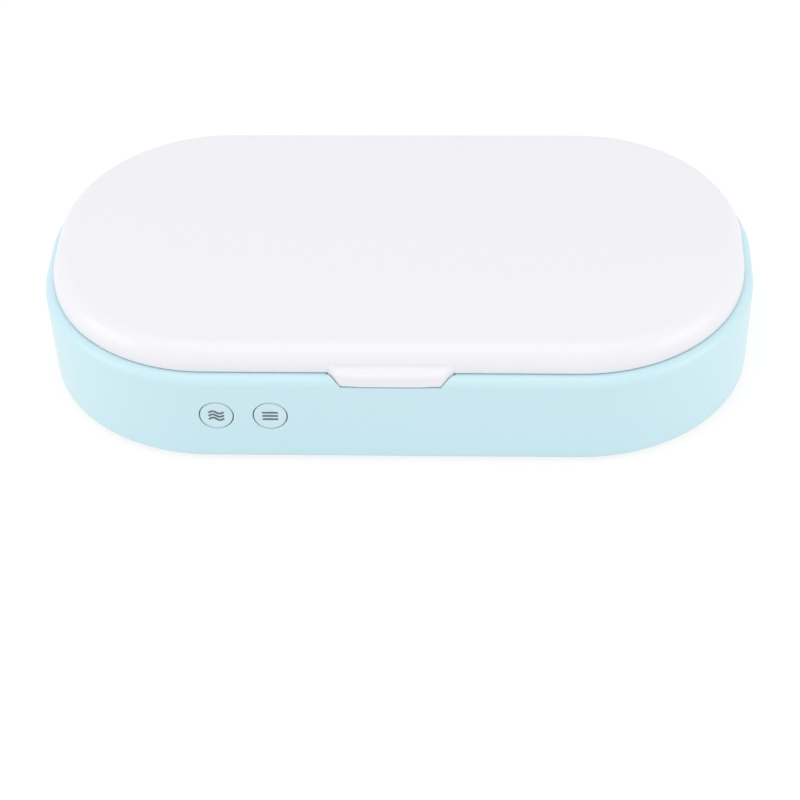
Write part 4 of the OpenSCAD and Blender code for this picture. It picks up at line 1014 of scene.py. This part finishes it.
def knuckle_web():
    """The arm that carries a hinge barrel, drawn in Y and Z."""
    edge = CORE_Y + LID_D
    low, slope = math.radians(25), math.radians(70)
    return [(edge - 0.8, LID_LOW + 0.1), (edge + 0.1, LID_LOW + 0.1),
            (HINGE_Y - BARREL_R * math.cos(low), HINGE_Z + BARREL_R * math.sin(low)),
            (HINGE_Y, HINGE_Z), (HINGE_Y + BARREL_R * math.cos(slope), HINGE_Z + BARREL_R * math.sin(slope)),
            (edge - 0.55, ROLL_CENTRE[1] + 2.6), (edge - 0.8, ROLL_CENTRE[1] + 1)]


def stop_tooth():
    """The tooth that stops the lid, drawn as it stands when open and turned back to closed."""
    reach, face = BARREL_R + STOP_REACH, CORE_Y + CORNER_R + STOP_GAP - HINGE_Y
    tip = math.radians(-43)
    opened = [(0, 0), (face, -BARREL_R * 0.6), (face, -math.sqrt(reach ** 2 - face ** 2)),
              (reach * math.cos(tip), reach * math.sin(tip)), (BARREL_R, 0)]
    c, s = math.cos(math.radians(OPEN_ANGLE)), math.sin(math.radians(OPEN_ANGLE))
    return [(HINGE_Y + y * c - z * s, HINGE_Z + y * s + z * c) for y, z in opened]


def hinge_lug():
    """A lug of the base behind the rim, drawn in Y and Z without its eye."""
    ten, twenty = math.radians(10), math.radians(20)
    return [(HINGE_Y - BARREL_R * math.cos(twenty), HINGE_Z - BARREL_R * math.sin(twenty)),
            (CORE_Y + LID_D + 0.6, SEAM_Z - 2.2), (CORE_Y + CORNER_R - 1.2, SEAM_Z - 9.5),
            (CORE_Y + CORNER_R - 0.28, SEAM_Z - 9.5),
            (HINGE_Y + BARREL_R * math.cos(ten), HINGE_Z + BARREL_R * math.sin(ten)), (HINGE_Y, HINGE_Z)]


def button_hole(x):
    """The cutter of a button's hole: its mouth is rounded and leans with the wall."""
    hole = BUTTON_R + BUTTON_GAP
    mouth = arc((hole + MOUTH_R, -WALL_FACE + MOUTH_R), MOUTH_R, 180, 265, 6)
    cutter = lathe("hole", [(0, -56), (hole, -56), *mouth, (hole + 1.6, -61), (0, -61)],
                   (x, 0, BUTTON_Z), "Y", 95)
    for vertex in cutter.data.vertices:
        vertex.co.y -= (vertex.co.z - BUTTON_Z * MM) * WALL_SLOPE
    return cutter


class SANITIZER_OT_base(bpy.types.Operator):
    """Mould the base ring: shoulder, rim, lip notch, button holes, hinge lugs and socket recess"""
    bl_idname = "sanitizer.base"
    bl_label = "Mould the base"

    def execute(self, context):
        housing = context.scene.sanitizer_housing
        profile = [*rounded([(COVER_D, COVER_SEAT), (COVER_D, FOOT_H, 0.3), (52, FOOT_H)], 3)[1:-1],
                   *arc((LOW_EDGE_D, FOOT_H + LOW_EDGE_R), LOW_EDGE_R, -90, 0, 10),
                   *arc((LID_D, SHOULDER_LOW), SHOULDER_R, 0, 90, 22),
                   *rounded([(50, SEAM_Z), (RIM_IN_D, SEAM_Z, 0.25), (RIM_IN_D, LEDGE_Z),
                             (LEDGE_IN_D, LEDGE_Z, 0.2), (LEDGE_IN_D, LEDGE_Z - 1.8, 0.2),
                             (WALL_IN_D, LEDGE_Z - 2.8)], 3)]
        ring = swept("base", profile, housing, FINISHES["sky_plastic"])
        for x in BUTTON_X:
            carved(ring, removed=[button_hole(x)])
        bosses = cover_bosses()
        posts = list(zip((BUTTON_X[0] - KEY_POST_OUT, BUTTON_X[1] + KEY_POST_OUT), KEY_POST_Z))
        added = [rod("boss", "Z", (x, y, 0), BOSS_R, COVER_TOP, BOSS_TOP, 32) for x, y in bosses]
        added += [rod("post", "Y", (x, 0, z), KEY_POST_R, *KEY_POST_REACH, 24) for x, z in posts]
        removed = [lip_notch("notch")]
        removed += [rod("pilot", "Z", (x, y, 0), PILOT_R, PILOT_LOW, PILOT_TOP, 16) for x, y in bosses]
        removed += [rod("pilot", "Y", (x, 0, z), KEY_PILOT_R, *KEY_PILOT_REACH, 16) for x, z in posts]
        for side in (-1, 1):
            middle = side * HINGE_SPAN / 2
            inner = KNUCKLE_W / 2 + KNUCKLE_GAP
            for flank in (-1, 1):
                x0, x1 = sorted((middle + flank * inner, middle + flank * (inner + LUG_W)))
                added += [rod("eye", "X", (0, HINGE_Y, HINGE_Z), BARREL_R, x0, x1),
                          prism("lug", hinge_lug(), x0 + 0.01, x1 - 0.01)]
            reach = inner + LUG_W + 0.2
            removed += [rod("bore", "X", (0, HINGE_Y, HINGE_Z), PIN_R, middle - reach, middle + reach, 32),
                        rod("relief", "X", (0, HINGE_Y, HINGE_Z), BARREL_R + KNUCKLE_GAP, middle - inner,
                            middle + inner, 64)]
        added.append(prism("port_block", block(*PORT_BLOCK), PORT_FLOOR - PORT_SKIN, PORT_BLOCK_END,
                           axis="Y"))
        removed += [prism("port", slot_outline(PORT_W, PORT_H, USB_Z), PORT_FLOOR, PORT_END, axis="Y"),
                    prism("window", slot_outline(*PORT_WINDOW, USB_Z), *PORT_WINDOW_REACH, axis="Y")]
        carved(ring, added, removed)
        settle(ring, "base", "sky_plastic", ["base_shell"])
        return {"FINISHED"}


class SANITIZER_OT_buttons(bpy.types.Operator):
    """Make the two buttons with their rounded caps and printed signs"""
    bl_idname = "sanitizer.buttons"
    bl_label = "Make the buttons"

    def execute(self, context):
        front, flange = -FRONT_FACE, -FLANGE_FACE
        outer, back = BUTTON_R + FLANGE_OUT, flange + FLANGE_T
        for node, x, wave in (("scent_button", BUTTON_X[0], WAVE_H), ("sterilize_button", BUTTON_X[1], 0.0)):
            face = [(DISH_R * k / 8, front + DISH_DEPTH * (1 - (k / 8) ** 2)) for k in range(9)]
            edge = quadratic((BUTTON_R - FACE_EDGE, front), (BUTTON_R, front),
                             (BUTTON_R, front + FACE_EDGE), 6)
            cap = lathe(node + "_cap", [
                *face, *edge, (BUTTON_R, flange), (outer, flange), (outer, back), (STEM_R, back),
                (STEM_R, flange + STEM_L), (0, flange + STEM_L)], (x, 0, BUTTON_Z), "Y", 96)
            cap.data.materials.append(FINISHES["button_plastic"])
            settle(cap, node, "button_plastic", [node])
            sign = printed_strokes(node + "_sign", x, wave)
            settle(sign, node, "button_plastic")
        return {"FINISHED"}


def half_round(centre, start):
    """The round end of a stroke, from one of its corners to the other."""
    turn = math.degrees(math.atan2(start[1] - centre[1], start[0] - centre[0]))
    return arc(centre, STROKE_W / 2, turn, turn - 180, 8)[1:-1]


def printed_strokes(name, x, wave):
    """Three strokes of ink on a button's face, straight or waved, each with round ends."""
    steps = 24
    line = [((t - 0.5) * (SIGN_W - STROKE_W), wave * math.sin(2 * math.pi * t))
            for t in (i / steps for i in range(steps + 1))]
    left, right = [], []
    for i, (a, b) in enumerate(line):
        p, q = line[max(i - 1, 0)], line[min(i + 1, steps)]
        ahead = Vector((q[0] - p[0], q[1] - p[1])).normalized()
        left.append((a - ahead.y * STROKE_W / 2, b + ahead.x * STROKE_W / 2))
        right.append((a + ahead.y * STROKE_W / 2, b - ahead.x * STROKE_W / 2))
    outline = left + half_round(line[-1], left[-1]) + right[::-1] + half_round(line[0], right[0])
    stroke = prism(name + "_stroke", outline, *INK_REACH, axis="Y")
    places = [(x, -FRONT_FACE + INK_PLACE, BUTTON_Z + k * STROKE_PITCH) for k in (-1, 0, 1)]
    return repeated(name, stroke, places, "printed_sign")


class SANITIZER_OT_screws(bpy.types.Operator):
    """Drive the cross-head screws of the cover, the chamber and the lid's lining"""
    bl_idname = "sanitizer.screws"
    bl_label = "Drive the screws"

    def execute(self, context):
        tray = mirrored(CORE_X + TRAY_SCREW_X, CORE_Y + TRAY_SCREW_Y)
        below = [(x, y, FOOT_H) for x, y in cover_bosses() + tray]
        screws = repeated("bottom_screws", screw("screw", *BASE_SCREW), below, "steel")
        settle(screws, "base", "steel", ["cover_screws", "tray_screws"])
        places = [(x, y, LINING_Z) for x, y in lid_bosses()]
        screws = repeated("lining_screws", screw("small_screw", *LINING_SCREW), places, "steel")
        settle(screws, "lid", "steel", ["lid_screws"])
        return {"FINISHED"}


class SANITIZER_OT_feet(bpy.types.Operator):
    """Mould the four rubber feet with their grip rings"""
    bl_idname = "sanitizer.feet"
    bl_label = "Mould the feet"

    def execute(self, context):
        grip = []
        for k in range(4):
            r = GRIP_R + GRIP_PITCH * k
            grip += [(r - GRIP_FOOT, GRIP_H), (r - GRIP_CREST, 0.0),
                     (r + GRIP_CREST, 0.0), (r + GRIP_FOOT, GRIP_H)]
        profile = [(0, FOOT_HUB_Z), (FOOT_HUB_R, FOOT_HUB_Z), *grip,
                   *arc((FOOT_R - FOOT_EDGE, FOOT_EDGE), FOOT_EDGE, -70, 0, 6),
                   (FOOT_R, FOOT_TOP), (0, FOOT_TOP)]
        piece = lathe("foot", profile, (0, 0, 0), "Z", 72)
        places = [(x, y, 0) for x, y in mirrored(FOOT_X, FOOT_Y)]
        feet = repeated("feet", piece, places, "foot_rubber")
        settle(feet, "base", "foot_rubber",
               ["foot_front_left", "foot_front_right", "foot_rear_left", "foot_rear_right"])
        return {"FINISHED"}


class SANITIZER_OT_rails(bpy.types.Operator):
    """Mould the three clear rails that carry the phone"""
    bl_idname = "sanitizer.rails"
    bl_label = "Mould the phone rails"

    def execute(self, context):
        low, top, half = FLOOR_Z + MIRROR_T, FLOOR_Z + MIRROR_T + RAIL_H, RAIL_HALF
        outline = rounded([(-half, low), (half, low), (half, top, RAIL_ROUND), (-half, top, RAIL_ROUND)], 8)
        piece = prism("rail", outline, -RAIL_T / 2, RAIL_T / 2)
        hole = slot_outline(RAIL_HOLE_PITCH - RAIL_BRIDGE, 2 * RAIL_HOLE_R, low + RAIL_HOLE_Z)
        holes = [prism("window", [(y + k * RAIL_HOLE_PITCH, z) for y, z in hole], -RAIL_T, RAIL_T)
                 for k in range(-2, 3)]
        carved(piece, removed=holes)
        rails = repeated("phone_rails", piece, [(k * RAIL_PITCH, 0, 0) for k in (-1, 0, 1)], "clear_plastic")
        settle(rails, "base", "clear_plastic", ["phone_rail_left", "phone_rail_middle", "phone_rail_right"],
               bevel=0.35)
        return {"FINISHED"}


class SANITIZER_OT_grille(bpy.types.Operator):
    """Mould the slotted grille over the scent pad"""
    bl_idname = "sanitizer.grille"
    bl_label = "Mould the scent grille"

    def execute(self, context):
        top, r, low = GRILLE_Z + GRILLE_T, CUP_R, GRILLE_Z - GRILLE_SKIRT
        profile = [(0, top), (r - 1.6, top), (r - 0.9, top - 0.06),
                   *arc((r - 0.5, top - 0.55), 0.5, 80, 0, 6),
                   (r, GRILLE_Z), (r - 1.35, GRILLE_Z), (r - 1.35, low), (0, low)]
        piece = lathe("scent_cover", profile, (CUP_X, 0, 0), "Z", 96)
        slots = []
        for k in range(-2, 3):
            half = math.sqrt((r - SLOT_MARGIN) ** 2 - (abs(k) * SLOT_PITCH + SLOT_W / 2) ** 2)
            outline = [(CUP_X + x, y) for x, y in slot_outline(2 * half, SLOT_W, k * SLOT_PITCH)]
            slots.append(prism("slot", outline, GRILLE_Z - 2, top + 1, axis="Z"))
        carved(piece, removed=slots)
        settle(piece, "base", "white_plastic", ["scent_grille"], bevel=0.14)
        return {"FINISHED"}


class SANITIZER_OT_electrodes(bpy.types.Operator):
    """Fit the glass stems, the lead wires and the coils inside both lamps"""
    bl_idname = "sanitizer.electrodes"
    bl_label = "Fit the lamp electrodes"

    def execute(self, context):
        stems, metal = [], []
        for end in (-1, 1):
            stems.append(lathe("stem", [(r, end * x) for r, x in LAMP_STEM], (0, 0, 0), "X", 40))
            metal += [strand("lead", [(end * x, 0, up * z) for x, z in LAMP_LEAD], LEAD_R) for up in (-1, 1)]
            coil = []
            for i in range(COIL_STEPS + 1):
                a = 2 * math.pi * COIL_TURNS * i / COIL_STEPS
                coil.append((end * LAMP_LEAD[-1][0] + COIL_R * math.cos(a), COIL_R * math.sin(a),
                             -COIL_L / 2 + COIL_L * i / COIL_STEPS))
            metal.append(strand("coil", coil, COIL_WIRE_R, 8))
        lamps = [(0, side * LAMP_Y, LAMP_Z) for side in (-1, 1)]
        for name, parts, finish in (("lamp_stems", stems, "quartz_glass"), ("lamp_coils", metal, "steel")):
            whole = joined(name + "_pair", parts)
            settle(repeated(name, whole, lamps, finish), "base", finish)
        return {"FINISHED"}


def socket_section(inset):
    """The D-like section of the charging socket, drawn across and up, smaller by the inset all round."""
    half, low, top = USB_W / 2, BOARD_TOP, BOARD_TOP + USB_H
    side, step, corner = half - inset, low + 1.35 + inset * 0.3, half - 0.95 - inset * 0.6
    return rounded([(side, top - inset, 0.35), (side, step, 0.3), (corner, low + inset, 0.3),
                    (-corner, low + inset, 0.3), (-side, step, 0.3), (-side, top - inset, 0.35)], 4)


class SANITIZER_OT_socket(bpy.types.Operator):
    """Make the charging socket: folded shell, tongue and its five contacts"""
    bl_idname = "sanitizer.socket"
    bl_label = "Make the charging socket"

    def execute(self, context):
        rear, back = PORT_FLOOR, PORT_FLOOR - SOCKET_L
        shell = prism("socket_shell", socket_section(0), back, rear, axis="Y")
        carved(shell, removed=[prism("mouth", socket_section(SOCKET_WALL), back + 1, rear + 1, axis="Y")])
        settle(shell, "base", "steel", ["charging_socket"], bevel=0.06)
        middle = USB_Z + TONGUE_RISE
        outline = [(*corner, 0.1) for corner in block(TONGUE_HALF, middle - TONGUE_T, middle + TONGUE_T)]
        tongue = prism("socket_tongue", rounded(outline, 2), back + 0.8, rear - 1.0, axis="Y")
        settle(tongue, "base", "dark_plastic", bevel=0.06)
        strip = prism("contact", block(CONTACT_HALF, -CONTACT_T, CONTACT_T), back + 1, rear - 1.3, axis="Y")
        places = [(k * CONTACT_PITCH, 0, middle - TONGUE_T) for k in range(-2, 3)]
        settle(repeated("socket_contacts", strip, places, "steel"), "base", "steel")
        return {"FINISHED"}


class SANITIZER_OT_stage(bpy.types.Operator):
    """Set the pale floor, the soft studio light and the camera"""
    bl_idname = "sanitizer.stage"
    bl_label = "Set the stage"

    def execute(self, context):
        scene, settings = context.scene, context.scene.sanitizer_stage
        scene.view_settings.view_transform = "Standard"
        make_floor(settings)
        make_world(scene, settings)
        for name, place, size, power in STUDIO_LAMPS:
            area_lamp(name, place, size, getattr(settings, power))
        make_camera(scene)
        return {"FINISHED"}


def make_floor(settings):
    """A wide round floor that meets the white world without a line and keeps the object's shadow."""
    mesh = bpy.data.meshes.new("studio_floor")
    work = bmesh.new()
    bmesh.ops.create_circle(work, cap_ends=True, radius=FLOOR_R, segments=96)
    work.to_mesh(mesh)
    work.free()
    floor = link("studio_floor", mesh)
    finish = Finish("floor_paint", Roughness=0.9, Specular_IOR_Level=0.1)
    cloud = finish.noise(0.6, detail=2.0)
    finish.mottle(cloud, tuple(settings.floor_colour), 0.99, 1.01)
    finish.relief(finish.noise(0.002), 0.00001)
    seen = seen_directly(finish.field)
    white = finish.field.add("ShaderNodeEmission", None, {"Color": (1, 1, 1, 1), "Strength": 1.04})
    paint = Field(finish.field.tree, finish.shader.outputs[0])
    mixed = finish.field.add("ShaderNodeMixShader", None, {0: seen * FLOOR_GLOW, 1: paint, 2: white})
    finish.field.tree.links.new(mixed.socket, finish.output.inputs["Surface"])
    mesh.materials.append(finish.material)


def make_world(scene, settings):
    """White where it is seen or mirrored, and a plainer level of light everywhere else."""
    world = bpy.data.worlds.new("studio_world")
    world.use_nodes = True
    world.node_tree.nodes.clear()
    field = Field(world.node_tree)
    level = seen_directly(field) * (1 - settings.world_light) + settings.world_light
    light = field.add("ShaderNodeBackground", None, {"Color": (1, 1, 1, 1), "Strength": level})
    field.add("ShaderNodeOutputWorld", None, {"Surface": light})
    scene.world = world


def area_lamp(name, place, size, power):
    """A round soft lamp that faces the object."""
    data = bpy.data.lights.new(name, "AREA")
    data.shape, data.size, data.energy = "DISK", size, power
    lamp = link(name, data)
    lamp.location = place
    lamp.rotation_euler = (Vector(STUDIO_TARGET) - Vector(place)).to_track_quat("-Z", "Y").to_euler()


def make_camera(scene):
    """A long lens, a little to the right of the middle and tilted slightly, as in the photograph."""
    back = Vector((math.sin(CAMERA_AZIMUTH) * math.cos(CAMERA_ELEVATION),
                   -math.cos(CAMERA_AZIMUTH) * math.cos(CAMERA_ELEVATION), math.sin(CAMERA_ELEVATION)))
    right = Vector((math.cos(CAMERA_AZIMUTH), math.sin(CAMERA_AZIMUTH), 0))
    up = back.cross(right)
    x_axis = right * math.cos(CAMERA_ROLL) + up * math.sin(CAMERA_ROLL)
    y_axis = up * math.cos(CAMERA_ROLL) - right * math.sin(CAMERA_ROLL)
    data = bpy.data.cameras.new("photo_camera")
    data.lens, data.sensor_width = CAMERA_LENS, 36.0
    data.clip_start, data.clip_end = 0.01, 20.0
    camera = link("photo_camera", data)
    turn = Matrix((x_axis, y_axis, back)).transposed().to_4x4()
    camera.matrix_world = Matrix.Translation(CAMERA_TARGET + back * CAMERA_DISTANCE) @ turn
    scene.camera = camera


class SANITIZER_PT_sidebar(bpy.types.Panel):
    """Shows the settings of the sanitizer box and a button for each of its steps"""
    bl_idname = "SANITIZER_PT_sidebar"
    bl_label = "Sanitizer Box"
    bl_space_type = "VIEW_3D"
    bl_region_type = "UI"
    bl_category = "Sanitizer Box"

    def draw(self, context):
        for group in SETTINGS:
            settings = getattr(context.scene, group)
            box = self.layout.box()
            for name in settings.__annotations__:
                box.prop(settings, name)
        for step in STEPS:
            self.layout.operator(step.bl_idname)


STEPS = (SANITIZER_OT_frame_finishes, SANITIZER_OT_lid, SANITIZER_OT_base, SANITIZER_OT_buttons,
         SANITIZER_OT_screws, SANITIZER_OT_feet, SANITIZER_OT_rails, SANITIZER_OT_grille,
         SANITIZER_OT_electrodes, SANITIZER_OT_socket, SANITIZER_OT_stage)
SETTINGS = {"sanitizer_housing": HousingSettings, "sanitizer_surface": SurfaceSettings,
            "sanitizer_stage": StageSettings}
CLASSES = (*SETTINGS.values(), *STEPS, SANITIZER_PT_sidebar)


def register():
    for cls in CLASSES:
        bpy.utils.register_class(cls)
    for name, group in SETTINGS.items():
        setattr(bpy.types.Scene, name, PointerProperty(type=group))


def unregister():
    for name in SETTINGS:
        delattr(bpy.types.Scene, name)
    for cls in reversed(CLASSES):
        bpy.utils.unregister_class(cls)


def main():
    register()
    for step in STEPS:
        group, name = step.bl_idname.split(".")
        getattr(getattr(bpy.ops, group), name)()


if __name__ == "__main__":
    main()
